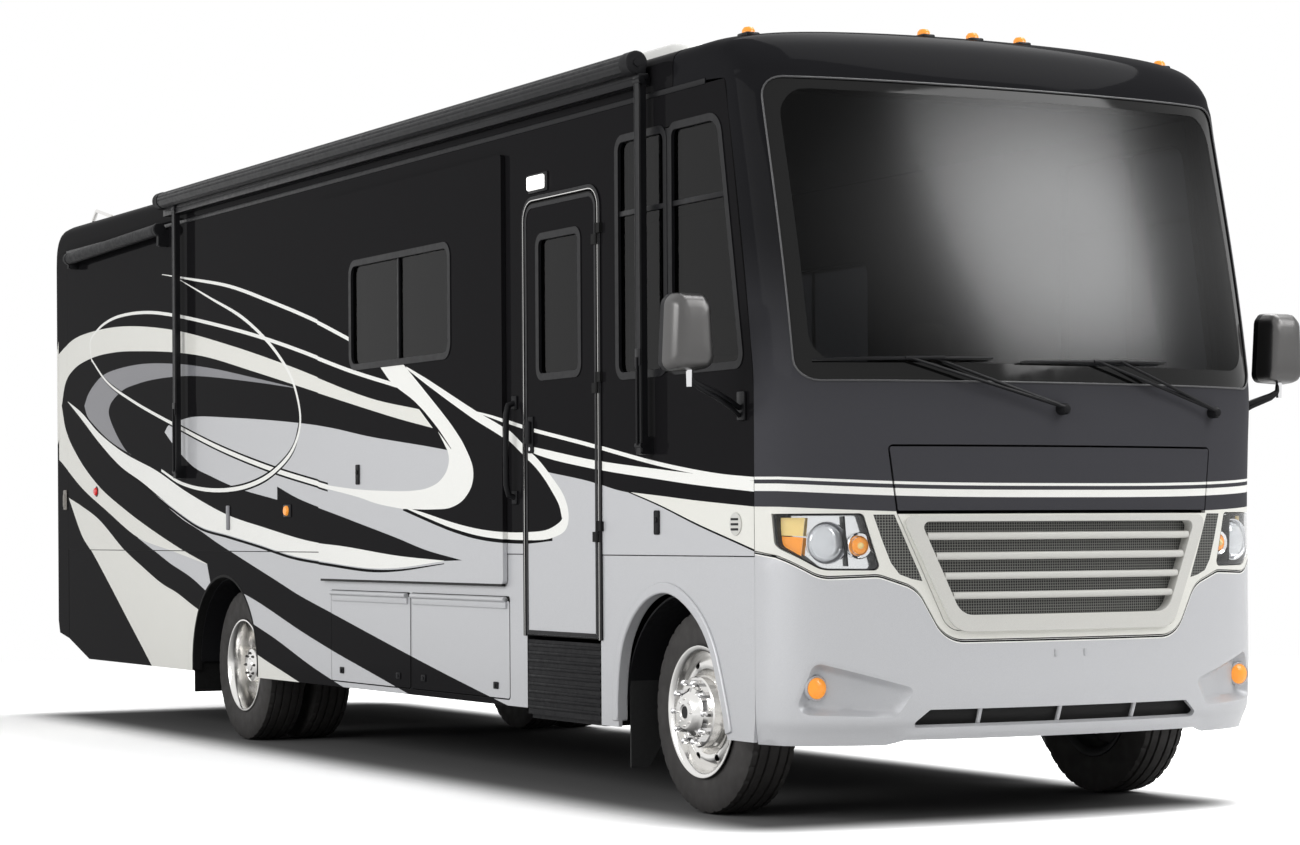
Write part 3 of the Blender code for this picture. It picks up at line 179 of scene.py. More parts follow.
def paint(name, colour, metallic=0.0, gloss=0.5, coat=0.6, level=0.12):
    mat = new_material(name, colour, metallic, gloss, Coat_Weight=coat, Coat_Roughness=0.05,
                       Specular_IOR_Level=level,
                       Coat_IOR=1.22)
    vary(mat, 900.0, 0.90, 1.12, 1.0)
    return bump(mat, noise(mat, 9.0, 1.0), 0.012, 0.02)


M = {}
M["dark"] = paint("charcoal_paint", (0.0085, 0.0082, 0.0090), 0.0, 0.42, 0.14, 0.0)
# Painted reflection: the front mask is the charcoal paint made lighter, standing in for what it reflects.
M["mask"] = paint("mask_paint_with_painted_reflection", (0.052, 0.052, 0.058), 0.0, 0.42, 0.10, 0.0)
M["silver"] = paint("silver_paint", (0.50, 0.505, 0.52), 0.25, 0.38, 0.5)
M["grey"] = paint("grey_paint", (0.190, 0.190, 0.205), 0.2, 0.4, 0.5)
M["cream"] = paint("cream_paint", (0.71, 0.705, 0.66), 0.0, 0.35, 0.5)
M["white"] = paint("white_paint", (0.80, 0.80, 0.77), 0.0, 0.35, 0.5)
M["black"] = paint("black_paint", (0.0070, 0.0070, 0.0076), 0.0, 0.40, 0.12, 0.0)
# Near-black for the panels under the skins: the grooves between skins show it as dark joints with painted
# shade; the rear arch lips are black in it.
M["seam"] = vary(new_material("seam_rubber_and_groove_shade", (0.007, 0.007, 0.007), 0, 0.7, Specular_IOR_Level=0.15), 60,
                 0.8, 1.2)
M["frit"] = uneven(new_material("black_glass_edge", (0.004, 0.004, 0.004), 0, 0.06,
                                Specular_IOR_Level=0.22), 12, 0.04, 0.09)
M["satin"] = uneven(new_material("satin_black_trim", (0.008, 0.008, 0.009), 0.0, 0.35,
                                 Specular_IOR_Level=0.14), 30, 0.28, 0.42)
M["plastic"] = uneven(new_material("moulded_black_plastic", (0.009, 0.009, 0.010), 0.0, 0.5,
                                   Specular_IOR_Level=0.10), 40, 0.42, 0.6)
bump(M["plastic"], noise(M["plastic"], 700, 2.0), 0.12, 0.001)
M["rubber"] = uneven(new_material("wiper_rubber", (0.010, 0.010, 0.010), 0.0, 0.6), 50, 0.5, 0.7)
M["chrome"] = uneven(new_material("chrome", (0.78, 0.78, 0.79), 1.0, 0.08), 8, 0.05, 0.12)
M["alloy"] = uneven(new_material("polished_aluminium", (0.80, 0.79, 0.77), 1.0, 0.15), 14, 0.10, 0.22)
M["steel"] = uneven(new_material("chassis_steel_black", (0.020, 0.020, 0.021), 0.3, 0.55), 12, 0.45, 0.65)
M["cast"] = uneven(new_material("cast_iron", (0.055, 0.052, 0.050), 0.5, 0.6), 18, 0.5, 0.7)
bump(M["cast"], noise(M["cast"], 160, 3.0), 0.3, 0.002)
M["tyre"] = vary(uneven(new_material("tyre_rubber", (0.024, 0.022, 0.021), 0.0, 0.75), 16, 0.65, 0.85), 7,
                 0.8, 1.25)
bump(M["tyre"], noise(M["tyre"], 260, 2.0), 0.15, 0.001)
M["windshield"] = new_material("windshield_glass", (0.10, 0.105, 0.11), 0.0, 0.0, Transmission_Weight=1.0,
                               IOR=1.05,
                               Coat_Weight=0.9, Coat_Roughness=0.22, Coat_IOR=1.5)
M["tint"] = new_material("tinted_glass", (0.06, 0.06, 0.064), 0.0, 0.01, Transmission_Weight=1.0, IOR=1.05,
                         Coat_Weight=0.34, Coat_Roughness=0.05, Coat_IOR=1.4)
M["clear"] = new_material("clear_lens", (0.97, 0.98, 0.98), 0.0, 0.02, Transmission_Weight=1.0, IOR=1.3)
M["projector"] = uneven(new_material("ribbed_lamp_glass", (0.72, 0.73, 0.76), 0.35, 0.12, Coat_Weight=0.6),
                        60, 0.08, 0.2)
M["amber"] = new_material("amber_lens", (0.85, 0.26, 0.02), 0.0, 0.12, Emission_Color=(1.0, 0.42, 0.05, 1),
                          Emission_Strength=0.30)
M["yellow"] = new_material("pale_amber_lens", (0.90, 0.66, 0.25), 0.0, 0.15,
                           Emission_Color=(1.0, 0.75, 0.3, 1), Emission_Strength=0.12)
M["red"] = new_material("red_lens", (0.60, 0.01, 0.01), 0.0, 0.12, Emission_Color=(0.8, 0.01, 0.01, 1),
                        Emission_Strength=0.15)
M["lit"] = new_material("lit_porch_lens", (0.9, 0.9, 0.88), 0.0, 0.3, Emission_Color=(1, 1, 0.97, 1),
                        Emission_Strength=0.9)
for key in ("amber", "red", "yellow"):
    bump(M[key], noise(M[key], 220, 0.0), 0.3, 0.002)
M["roof"] = vary(new_material("roof_membrane", (0.46, 0.46, 0.445), 0.0, 0.6), 3, 0.94, 1.04)
bump(M["roof"], noise(M["roof"], 120, 3.0), 0.15, 0.002)
M["mesh"] = new_material("grille_mesh", (0.135, 0.135, 0.125), 0.3, 0.5)
M["grille"] = paint("grille_satin", (0.57, 0.565, 0.535), 0.0, 0.36, 0.5)
# Painted shade: a darker silver for the fog recesses, their lamp rims and the bumper slots.
M["recess"] = paint("recess_silver_painted_shade", (0.44, 0.445, 0.46), 0.25, 0.4, 0.4)
M["brushed"] = uneven(new_material("mirror_shell", (0.105, 0.103, 0.102), 0.8, 0.3), 90, 0.28, 0.38, 3.0,
                      (1, 1, 0.06))
M["vinyl"] = uneven(new_material("awning_vinyl", (0.008, 0.008, 0.009), 0.0, 0.55, Specular_IOR_Level=0.16),
                    40, 0.45, 0.65)
bump(M["vinyl"], noise(M["vinyl"], 30, 4.0, (0.05, 1, 1)), 0.25, 0.004)
M["gasket"] = uneven(new_material("gasket_rubber", (0.05, 0.05, 0.052), 0.0, 0.4), 40, 0.3, 0.5)
M["carpet"] = vary(new_material("cabin_carpet", (0.11, 0.10, 0.09), 0.0, 0.95), 240, 0.7, 1.3)
bump(M["carpet"], noise(M["carpet"], 500, 2.0), 0.6, 0.004)
M["shroud"] = vary(new_material("roof_unit_plastic", (0.50, 0.50, 0.485), 0.0, 0.45), 5, 0.95, 1.03)

M["leather"] = vary(uneven(new_material("seat_leather", (0.30, 0.23, 0.165), 0.0, 0.5), 20, 0.42, 0.6), 25,
                    0.9, 1.08)
bump(M["leather"], noise(M["leather"], 340, 4.0), 0.25, 0.0015)
M["trim"] = vary(uneven(new_material("cabin_trim", (0.23, 0.215, 0.195), 0.0, 0.65), 10, 0.55, 0.75), 12,
                 0.92, 1.06)
# Painted shade: near-black for the insides of openings, louvres, slots and the hub bore; under the slide room
# it is also the black of its seal.
M["gap"] = new_material("dark_gap_painted_shade", (0.006, 0.006, 0.006), 0.0, 0.8)
M["mirror"] = new_material("mirror_glass", (0.85, 0.86, 0.87), 1.0, 0.02)


def perforate(mat, pitch, hole_colour):
    """Round holes on a grid, drawn into the colour and the bump."""
    tree = mat.node_tree
    shader = tree.nodes["Principled BSDF"]
    vector = coordinates(mat, (0.0, 1 / pitch, 1 / pitch))
    voronoi = tree.nodes.new("ShaderNodeTexVoronoi")
    voronoi.inputs["Scale"].default_value = 1.0
    voronoi.inputs["Randomness"].default_value = 0.0
    tree.links.new(vector, voronoi.inputs["Vector"])
    ramp = tree.nodes.new("ShaderNodeValToRGB")
    ramp.color_ramp.elements[0].position = 0.36
    ramp.color_ramp.elements[1].position = 0.42
    ramp.color_ramp.elements[0].color = (*hole_colour, 1)
    ramp.color_ramp.elements[1].color = shader.inputs["Base Color"].default_value
    tree.links.new(voronoi.outputs["Distance"], ramp.inputs["Fac"])
    tree.links.new(ramp.outputs["Color"], shader.inputs["Base Color"])
    return bump(mat, ramp.outputs["Color"], 0.6, 0.004)


perforate(M["mesh"], 0.012, (0.004, 0.004, 0.004))


def shade_painted_upwards(mat, z0, z1, factor):
    """Painted shade: base colour that falls to a share of itself between two heights."""
    tree = mat.node_tree
    base = tree.nodes["Principled BSDF"].inputs["Base Color"]
    split = tree.nodes.new("ShaderNodeSeparateXYZ")
    scale = tree.nodes.new("ShaderNodeVectorMath")
    scale.operation = "SCALE"
    tree.links.new(object_place(tree), split.inputs[0])
    tree.links.new(base.links[0].from_socket, scale.inputs[0])
    tree.links.new(map_range(tree, split.outputs["Z"], (z0, z1), (1.0, factor), True), scale.inputs["Scale"])
    tree.links.new(scale.outputs["Vector"], base)

# Painted shade on the front mask: its colour, lightened by painted reflection, darkens towards the brow.
shade_painted_upwards(M["mask"], 1.70, 2.60, 0.22)


def reflection_painted_mid_pane(mat, centre, reach, middle, edge):
    """Painted reflection: coat weight that falls from the middle of a pane to its edges, so the middle
    reflects more.
    """
    tree = mat.node_tree
    place = vector_maths(tree, "SUBTRACT", object_place(tree), centre)
    length = vector_maths(tree, "LENGTH", vector_maths(tree, "DIVIDE", place, reach))
    share = map_range(tree, length, (0.15, 1.0), (middle, edge), True)
    tree.links.new(share, tree.nodes["Principled BSDF"].inputs["Coat Weight"])

# Painted reflection on the windshield: strong in the middle of the pane, weak at its edges.
reflection_painted_mid_pane(M["windshield"], (AXLE_X + 0.9, 0.10, 2.55), (9.0, 1.45, 0.95), 1.0, 0.14)


def dress(key, *names):
    """A finish for CAD nodes that stay."""
    for name in names:
        for slot in nodes[name].material_slots:
            slot.material = M[key]


# The CAD panels under the skins show only in the grooves, as dark joints with painted shade.
dress("seam", "side_wall_left", "side_wall_right", "roof", "rear_cap", "slideout_room", "entry_door",
      "skirt_left", "skirt_right_front", "skirt_right_rear",
      *[n for n in nodes if n.startswith("baggage_door")])
dress("steel", "chassis_frame", "floor", "storage_bays_right", "storage_bays_left")
dress("cast", "engine", "front_axle", "rear_axle", "knuckle_left", "knuckle_right")
dress("plastic", "stepwell", "dashboard", "topper_awning", "wiper_left", "wiper_right")
dress("satin", "patio_awning")
dress("roof", "air_conditioner_front", "air_conditioner_rear")
dress("alloy", "ladder")


# Mesh helpers
def shade(mesh, angle):
    mesh.shade_smooth()
    mesh.set_sharp_from_angle(angle=radians(angle))

def face_outwards(mesh, merge=False):
    """Turn every face outwards, after joining the points that coincide."""
    bm = bmesh.new()
    bm.from_mesh(mesh)
    if merge:
        bmesh.ops.remove_doubles(bm, verts=bm.verts, dist=1e-5)
    bmesh.ops.recalc_face_normals(bm, faces=bm.faces)
    bm.to_mesh(mesh)
    bm.free()

def cut_edges(obj, width, segments=2, angle=40):
    """Bevel the edges that are sharper than an angle."""
    bevel = obj.modifiers.new("edges", "BEVEL")
    bevel.width = width
    bevel.segments = segments
    bevel.limit_method = "ANGLE"
    bevel.angle_limit = radians(angle)

def grid_faces(rows, columns, closed=False):
    """Quads over a grid of points written row by row; a closed grid runs round."""
    return [(j * columns + i, j * columns + (i + 1) % columns,
             (j + 1) * columns + (i + 1) % columns, (j + 1) * columns + i)
            for j in range(rows - 1) for i in range(columns if closed else columns - 1)]

def capped_faces(rows, columns):
    """The faces of a closed body over rings of points: its two ends and the quads between."""
    ends = [tuple(range(columns)), tuple(range((rows - 1) * columns, rows * columns))]
    return ends + grid_faces(rows, columns, True)

def piece(name, points, faces, key, body="coach", smooth=None):
    """One mesh object written from the front axle, with its finish, riding on a body."""
    mesh = bpy.data.meshes.new(name)
    mesh.from_pydata([(p[0] + AXLE_X, p[1], p[2]) for p in points], [], faces)
    mesh.validate()
    obj = bpy.data.objects.new(name, mesh)
    scene.collection.objects.link(obj)
    mesh.materials.append(M[key])
    if smooth:
        shade(mesh, smooth)
    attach(obj, body)
    return obj


class Shape:
    """Collects closed bodies, to become one piece."""

    def __init__(self):
        self.points = []
        self.faces = []

    def add(self, points, faces):
        start = len(self.points)
        self.points += [tuple(p) for p in points]
        self.faces += [tuple(i + start for i in face) for face in faces]
        return self

    def box(self, low, high, edge=0.0):
        """A box; with an edge its corners are cut all round."""
        bm = bmesh.new()
        bmesh.ops.create_cube(bm, size=1)
        size = [abs(high[i] - low[i]) for i in range(3)]
        for v in bm.verts:
            v.co = Vector([(low[i] + high[i]) / 2 + v.co[i] * size[i] for i in range(3)])
        if edge:
            bmesh.ops.bevel(bm, geom=bm.edges[:], offset=edge, segments=2, affect="EDGES", profile=0.5)
        bm.verts.index_update()
        self.add([v.co.copy() for v in bm.verts], [[v.index for v in f.verts] for f in bm.faces])
        bm.free()
        return self

    def tube(self, path, radius, segments=10):
        """A round bar along a path; radius is one number or one per point."""
        count = len(path)
        radii = radius if isinstance(radius, (list, tuple)) else [radius] * count
        points = []
        side = None
        for i in range(count):
            p = Vector(path[i])
            before = Vector(path[max(i - 1, 0)])
            after = Vector(path[min(i + 1, count - 1)])
            along = (after - before).normalized()
            if side is None:
                side = along.orthogonal().normalized()
            else:
                side = (side - along * side.dot(along)).normalized()
            up = along.cross(side)
            for k in range(segments):
                angle = 2 * pi * k / segments
                points.append(p + (side * cos(angle) + up * sin(angle)) * radii[i])
        faces = [tuple(reversed(range(segments))), tuple(range((count - 1) * segments, count * segments))]
        for i in range(count - 1):
            for k in range(segments):
                n = (k + 1) % segments
                a, b = i * segments, (i + 1) * segments
                faces.append((a + k, a + n, b + n, b + k))
        return self.add(points, faces)

    def lathe(self, profile, centre, segments, axis="Y", wave=None):
        """A closed profile of (along the axis, radius), turned about the axis through centre."""
        points = []
        rings = []
        for along, radius in profile:
            if radius < 1e-6:
                rings.append([len(points)])
                points.append(self.turn(along, 0.0, 0.0, centre, axis))
                continue
            rings.append(list(range(len(points), len(points) + segments)))
            for k in range(segments):
                angle = 2 * pi * k / segments
                r = radius + (wave(along, radius, k) if wave else 0.0)
                points.append(self.turn(along, r, angle, centre, axis))
        faces = []
        for i in range(len(rings)):
            a, b = rings[i], rings[(i + 1) % len(rings)]
            if len(a) == 1 and len(b) == 1:
                continue
            for k in range(segments):
                n = (k + 1) % segments
                if len(a) == 1:
                    faces.append((a[0], b[k], b[n]))
                elif len(b) == 1:
                    faces.append((a[k], b[0], a[n]))
                else:
                    faces.append((a[k], b[k], b[n], a[n]))
        return self.add(points, faces)

    @staticmethod
    def turn(along, radius, angle, centre, axis):
        u, v = radius * cos(angle), radius * sin(angle)
        if axis == "Y":
            return (centre[0] + u, centre[1] + along, centre[2] + v)
        if axis == "X":
            return (centre[0] + along, centre[1] + u, centre[2] + v)
        return (centre[0] + u, centre[1] + v, centre[2] + along)

    def sheet(self, flat, low, high):
        """A closed plate: a flat mesh placed twice, with walls round its edges."""
        points, faces = flat
        count = len(points)
        placed = [low(*p) for p in points] + [high(*p) for p in points]
        directed = set()
        for face in faces:
            for i, a in enumerate(face):
                directed.add((a, face[(i + 1) % len(face)]))
        body = [tuple(reversed(face)) for face in faces]
        body += [tuple(i + count for i in face) for face in faces]
        for a, b in directed:
            if (b, a) not in directed:
                body.append((a, b, b + count, a + count))
        return self.add(placed, body)

    def plate(self, outline, holes, a, b, axis="Y"):
        """A flat plate: the outline is in x and z, y and z, or x and y, after its axis."""
        flat = mesh_2d(outline, holes)
        if axis == "Y":
            return self.sheet(flat, lambda u, v: (u, a, v), lambda u, v: (u, b, v))
        if axis == "X":
            return self.sheet(flat, lambda u, v: (a, u, v), lambda u, v: (b, u, v))
        return self.sheet(flat, lambda u, v: (u, v, a), lambda u, v: (u, v, b))

    def make(self, name, key, body="coach", smooth=35, bevel=0.0):
        obj = piece(name, self.points, self.faces, key, body)
        face_outwards(obj.data, merge=True)
        if smooth:
            shade(obj.data, smooth)
        if bevel:
            cut_edges(obj, bevel)
        return obj


def inside_many(loop, points):
    """For each point, whether it lies in the loop."""
    x, y = points[:, 0], points[:, 1]
    hit = np.zeros(len(points), bool)
    for i in range(len(loop)):
        x0, y0 = loop[i - 1]
        x1, y1 = loop[i]
        if y0 == y1:
            continue
        crosses = (y0 > y) != (y1 > y)
        hit ^= crosses & (x < (x1 - x0) * (y - y0) / (y1 - y0) + x0)
    return hit


def cut_plan(loops, inner=()):
    """Triangles over the hull of all the loops, cut along every loop."""
    coords = []
    edges = []
    for loop in loops:
        start = len(coords)
        coords += [Vector(p) for p in loop]
        edges += [(start + i, start + (i + 1) % len(loop)) for i in range(len(loop))]
    coords += [Vector(p) for p in inner]
    out = delaunay_2d_cdt(coords, edges, [], 0, 1e-7)
    return np.array([tuple(v) for v in out[0]]), np.array([tuple(f) for f in out[2]])


def mesh_2d(outline, holes=(), inner=()):
    points, faces = cut_plan([outline, *holes], inner)
    middle = points[faces].mean(axis=1)
    keep = inside_many(outline, middle)
    for hole in holes:
        keep &= ~inside_many(hole, middle)
    return [tuple(p) for p in points], [tuple(int(i) for i in f) for f in faces[keep]]


def painted(name, outline, holes, regions, base, place, inner=(), body="coach", low=0.0, high=SKIN,
            smooth=None):
    """A skin cut into its colours: each colour is a closed piece that follows the place function."""
    loops = [outline, *holes] + [loop for _, loop in regions]
    points, faces = cut_plan(loops, inner)
    middle = points[faces].mean(axis=1)
    keep = inside_many(outline, middle)
    for hole in holes:
        keep &= ~inside_many(hole, middle)
    faces, middle = faces[keep], middle[keep]
    colours = np.array([base] * len(faces), dtype=object)
    for key, loop in regions:
        colours[inside_many(loop, middle)] = key
    made = {}
    for key in dict.fromkeys(colours):
        some = faces[colours == key]
        used, index = np.unique(some, return_inverse=True)
        flat = ([tuple(points[i]) for i in used], [tuple(int(i) for i in f) for f in index.reshape(-1, 3)])
        shape = Shape().sheet(flat, lambda u, v: place(u, v, low), lambda u, v: place(u, v, high))
        made[key] = piece(f"{name}_{key}", shape.points, shape.faces, key, body, smooth)
        face_outwards(made[key].data)
    return made


def rounded(corners, radius, steps=6):
    """A closed outline with each corner rounded; radius is one number or one per corner."""
    out = []
    count = len(corners)
    for i, corner in enumerate(corners):
        r = radius[i] if isinstance(radius, (list, tuple)) else radius
        p = Vector(corner)
        if r <= 0:
            out.append(tuple(p))
            continue
        a = (Vector(corners[i - 1]) - p).normalized()
        b = (Vector(corners[(i + 1) % count]) - p).normalized()
        half = a.angle(b) / 2
        centre = p + (a + b).normalized() * (r / sin(half))
        start = p + a * (r / tan(half)) - centre
        end = p + b * (r / tan(half)) - centre
        turn = atan2(start.x * end.y - start.y * end.x, start.dot(end))
        for k in range(steps + 1):
            angle = turn * k / steps
            out.append((
                centre.x + start.x * cos(angle) - start.y * sin(angle),
                centre.y + start.x * sin(angle) + start.y * cos(angle),
            ))
    return out


def rectangle(x0, z0, x1, z1, radius=0.0, steps=6):
    return rounded([(x0, z0), (x1, z0), (x1, z1), (x0, z1)], radius, steps)


def shrink(outline, distance):
    """The outline moved inwards by a distance (outwards if negative)."""
    count = len(outline)
    area = sum(outline[i - 1][0] * outline[i][1] - outline[i][0] * outline[i - 1][1] for i in range(count))
    side = 1 if area > 0 else -1
    out = []
    for i, point in enumerate(outline):
        p = Vector(point)
        a = (p - Vector(outline[i - 1])).normalized()
        b = (Vector(outline[(i + 1) % count]) - p).normalized()
        na = Vector((-a.y, a.x)) * side
        nb = Vector((-b.y, b.x)) * side
        n = na + nb
        n = n / max(n.length_squared / 2, 0.2)
        out.append(tuple(p + n * distance))
    return out


def split_long(outline, step):
    """The outline with points added along its long sides."""
    out = []
    for i, end in enumerate(outline):
        start = outline[i - 1]
        length = sqrt((end[0] - start[0]) ** 2 + (end[1] - start[1]) ** 2)
        parts = max(1, round(length / step))
        for k in range(1, parts + 1):
            f = k / parts
            out.append((start[0] + (end[0] - start[0]) * f, start[1] + (end[1] - start[1]) * f))
    return out


def spline(points, steps=8):
    """A smooth open line through the points."""
    if len(points) < 3:
        return [tuple(p) for p in points]
    p = [Vector(q) for q in points]
    p = [p[0] * 2 - p[1], *p, p[-1] * 2 - p[-2]]
    out = []
    for i in range(1, len(p) - 2):
        knots = [0.0]
        for j in range(3):
            knots.append(knots[-1] + max((p[i + j] - p[i + j - 1]).length, 1e-6) ** 0.5)
        for k in range(steps):
            t = knots[1] + (knots[2] - knots[1]) * k / steps
            a = [p[i - 1 + j] * ((knots[j + 1] - t) / (knots[j + 1] - knots[j]))
                 + p[i + j] * ((t - knots[j]) / (knots[j + 1] - knots[j])) for j in range(3)]
            b = [a[j] * ((knots[j + 2] - t) / (knots[j + 2] - knots[j]))
                 + a[j + 1] * ((t - knots[j]) / (knots[j + 2] - knots[j])) for j in range(2)]
            middle = knots[2] - knots[1]
            c = b[0] * ((knots[2] - t) / middle) + b[1] * ((t - knots[1]) / middle)
            out.append(tuple(c))
    out.append(tuple(p[-2]))
    return out


def loop_of(*lines):
    """A closed loop from smooth lines laid end to end."""
    out = []
    for line in lines:
        for q in spline(line):
            if not out or (Vector(q) - Vector(out[-1])).length > 1e-4:
                out.append(q)
    return out


def ribbon(line, widths):
    """A stripe of changing width along a smooth line."""
    centre = [Vector(p) for p in spline(line)]
    count = len(centre)
    left, right = [], []
    for i, p in enumerate(centre):
        along = (centre[min(i + 1, count - 1)] - centre[max(i - 1, 0)]).normalized()
        f = i / (count - 1) * (len(widths) - 1)
        k = min(int(f), len(widths) - 2)
        w = widths[k] + (widths[k + 1] - widths[k]) * (f - k)
        n = Vector((-along.y, along.x)) * (w / 2)
        left.append(tuple(p + n))
        right.append(tuple(p - n))
    return left + right[::-1]


# The painted design of the side, in x and z
SWEEP_TOP = [(-9.40, 2.480), (-9.034, 2.590), (-8.812, 2.636), (-8.446, 2.661), (-7.750, 2.658),
             (-6.736, 2.572), (-5.716, 2.418), (-4.738, 2.244), (-3.508, 2.005), (-2.844, 1.919)]
SWEEP_UNDER = [(-2.670, 1.815), (-3.138, 1.882), (-4.120, 2.041), (-5.347, 2.244), (-6.154, 2.371),
               (-6.736, 2.430), (-7.378, 2.472), (-7.930, 2.494), (-8.446, 2.480), (-8.848, 2.420),
               (-9.034, 2.334), (-9.124, 2.178)]
SWEEP_LOW_INNER = [(-9.124, 2.178), (-9.034, 2.010), (-8.758, 1.810), (-8.296, 1.598), (-7.747, 1.434),
                   (-7.198, 1.296), (-6.520, 1.148), (-6.154, 1.080)]
SWEEP_LOW_OUTER = [(-6.154, 1.076), (-6.826, 1.161), (-7.472, 1.245), (-8.116, 1.424), (-8.668, 1.590),
                   (-9.124, 1.773), (-9.40, 1.872)]
LONG_STROKE_UPPER = [(-8.978, 2.204), (-8.666, 2.113), (-8.298, 1.966), (-7.747, 1.810), (-7.104, 1.681),
                     (-6.520, 1.534), (-5.806, 1.387), (-5.164, 1.304), (-4.428, 1.222), (-3.874, 1.193),
                     (-3.136, 1.145), (-2.536, 1.123)]
LONG_STROKE_LOWER = [(-2.536, 1.121), (-3.138, 1.081), (-3.520, 1.076), (-4.120, 1.104), (-4.704, 1.139),
                     (-5.255, 1.204), (-5.788, 1.262), (-6.266, 1.314), (-6.816, 1.446), (-7.380, 1.608),
                     (-7.839, 1.727), (-8.298, 1.902), (-8.666, 2.067), (-8.978, 2.200)]
FIELD_EDGE = [(-7.250, 1.560), (-6.633, 1.369), (-6.266, 1.286), (-5.972, 1.213), (-5.439, 1.093),
              (-4.980, 0.992), (-4.612, 0.910), (-4.120, 0.818), (-3.040, 0.618), (-2.500, 0.522),
              (-1.690, 0.384)]
BAND_UPPER = [(-5.900, 0.990), (-5.678, 0.937), (-5.255, 0.854), (-4.612, 0.708), (-4.120, 0.607),
              (-3.400, 0.474), (-2.920, 0.384)]
BAND_LOWER = [(-3.850, 0.384), (-4.428, 0.506), (-4.980, 0.643), (-5.476, 0.754), (-5.900, 0.880)]
SLIVER_EDGE = [(-5.500, 0.600), (-5.402, 0.570), (-5.164, 0.515), (-4.888, 0.460), (-4.510, 0.384)]
WEDGE_UPPER = [(-8.968, 1.525), (-8.666, 1.461), (-8.298, 1.369), (-7.747, 1.158), (-7.380, 1.048),
               (-7.012, 0.947), (-6.725, 0.892), (-6.449, 0.823), (-6.100, 0.740)]
THIN_BAND_EDGE = [(-7.472, 1.242), (-7.104, 1.146), (-6.828, 1.075), (-6.449, 0.992), (-6.050, 0.870)]
WEDGE_LOWER = [(-7.180, 0.384), (-7.380, 0.506), (-7.747, 0.726), (-8.114, 0.947), (-8.445, 1.140),
               (-8.666, 1.254), (-8.968, 1.523)]
GREY_OUTER = [(-8.601, 2.159), (-8.518, 2.232), (-8.298, 2.324), (-8.114, 2.361), (-7.472, 2.388),
              (-6.737, 2.357), (-6.082, 2.298), (-5.347, 2.206), (-4.649, 2.114)]
GREY_INNER = [(-4.649, 2.111), (-5.347, 2.179), (-6.412, 2.264), (-7.104, 2.275), (-7.472, 2.260),
              (-7.784, 2.228), (-8.041, 2.140), (-8.068, 2.089), (-7.931, 1.957), (-7.692, 1.819),
              (-7.564, 1.790)]
GREY_FOOT = [(-7.564, 1.790), (-7.839, 1.847), (-8.114, 1.920), (-8.372, 2.012), (-8.537, 2.085),
             (-8.601, 2.157)]
INNER_FIELD_UPPER = [(-6.928, 1.926), (-6.866, 1.962), (-6.737, 1.980), (-6.412, 2.004), (-5.714, 1.976),
                     (-4.796, 1.921), (-4.120, 1.866), (-3.506, 1.794), (-2.771, 1.724), (-2.440, 1.690)]
INNER_FIELD_LOWER = [(-4.943, 1.466), (-5.604, 1.544), (-6.082, 1.627), (-6.394, 1.692), (-6.743, 1.830),
                     (-6.928, 1.923)]
HOOK_OUTER = [(-3.046, 2.165), (-2.771, 2.014), (-2.403, 1.803), (-2.256, 1.693), (-2.174, 1.592),
              (-2.183, 1.519), (-2.275, 1.445), (-2.440, 1.399), (-2.679, 1.390), (-3.065, 1.396)]
HOOK_LOWER = [(-3.065, 1.395), (-3.413, 1.427), (-3.689, 1.467), (-4.120, 1.517)]
HOOK_INNER = [(-4.120, 1.538), (-3.689, 1.509), (-3.322, 1.496), (-2.954, 1.491), (-2.734, 1.504),
              (-2.587, 1.537), (-2.495, 1.592), (-2.468, 1.647), (-2.486, 1.693)]
HOOK_TOP = [(-2.486, 1.693), (-2.642, 1.822), (-2.789, 1.904), (-2.918, 1.969), (-3.212, 2.078),
            (-3.358, 2.165)]
INNER_FIELD_FRONT = [(-2.312, 1.126), (-2.771, 1.178), (-3.138, 1.239), (-3.873, 1.353), (-4.612, 1.470),
                     (-4.943, 1.544)]
HIGH_LINE = [(-6.964, 2.946), (-6.412, 2.874), (-5.714, 2.778), (-4.980, 2.628), (-4.337, 2.484),
             (-3.736, 2.327)]
ELLIPSE_TOP = [(-3.138, 2.057), (-3.799, 2.170), (-4.612, 2.331), (-5.255, 2.448), (-6.082, 2.577),
               (-6.737, 2.667),
               (-7.196, 2.715), (-7.655, 2.733), (-8.022, 2.718), (-8.298, 2.667), (-8.464, 2.592),
               (-8.440, 2.471)]
ELLIPSE_LOW = [(-8.440, 2.471), (-8.114, 2.306), (-7.563, 2.150), (-6.724, 1.963), (-5.898, 1.793),
               (-5.016, 1.646), (-4.120, 1.527)]
ROUND_LINE = [(-6.754, 2.922), (-6.082, 2.736), (-5.439, 2.552), (-4.925, 2.323), (-4.667, 2.132),
              (-4.570, 1.921),
              (-4.667, 1.774), (-4.980, 1.637), (-5.439, 1.554), (-6.082, 1.539), (-6.633, 1.593),
              (-7.000, 1.680)]
BEND_UPPER = [(-3.010, 2.148), (-2.728, 2.055), (-2.403, 1.947), (-2.128, 1.858), (-1.786, 1.755),
              (-1.612, 1.676), (-1.444, 1.602), (-1.282, 1.500), (-1.168, 1.404), (-1.144, 1.320)]
BEND_LOWER = [(-1.144, 1.320), (-1.282, 1.266), (-1.606, 1.249), (-2.036, 1.263), (-2.403, 1.302),
              (-2.771, 1.360), (-3.064, 1.407)]
STRIPE_THIN = [(-2.170, 1.884), (-1.960, 1.851), (-1.612, 1.788), (-0.904, 1.683), (-0.202, 1.575),
               (0.330, 1.514), (0.700, 1.490)]
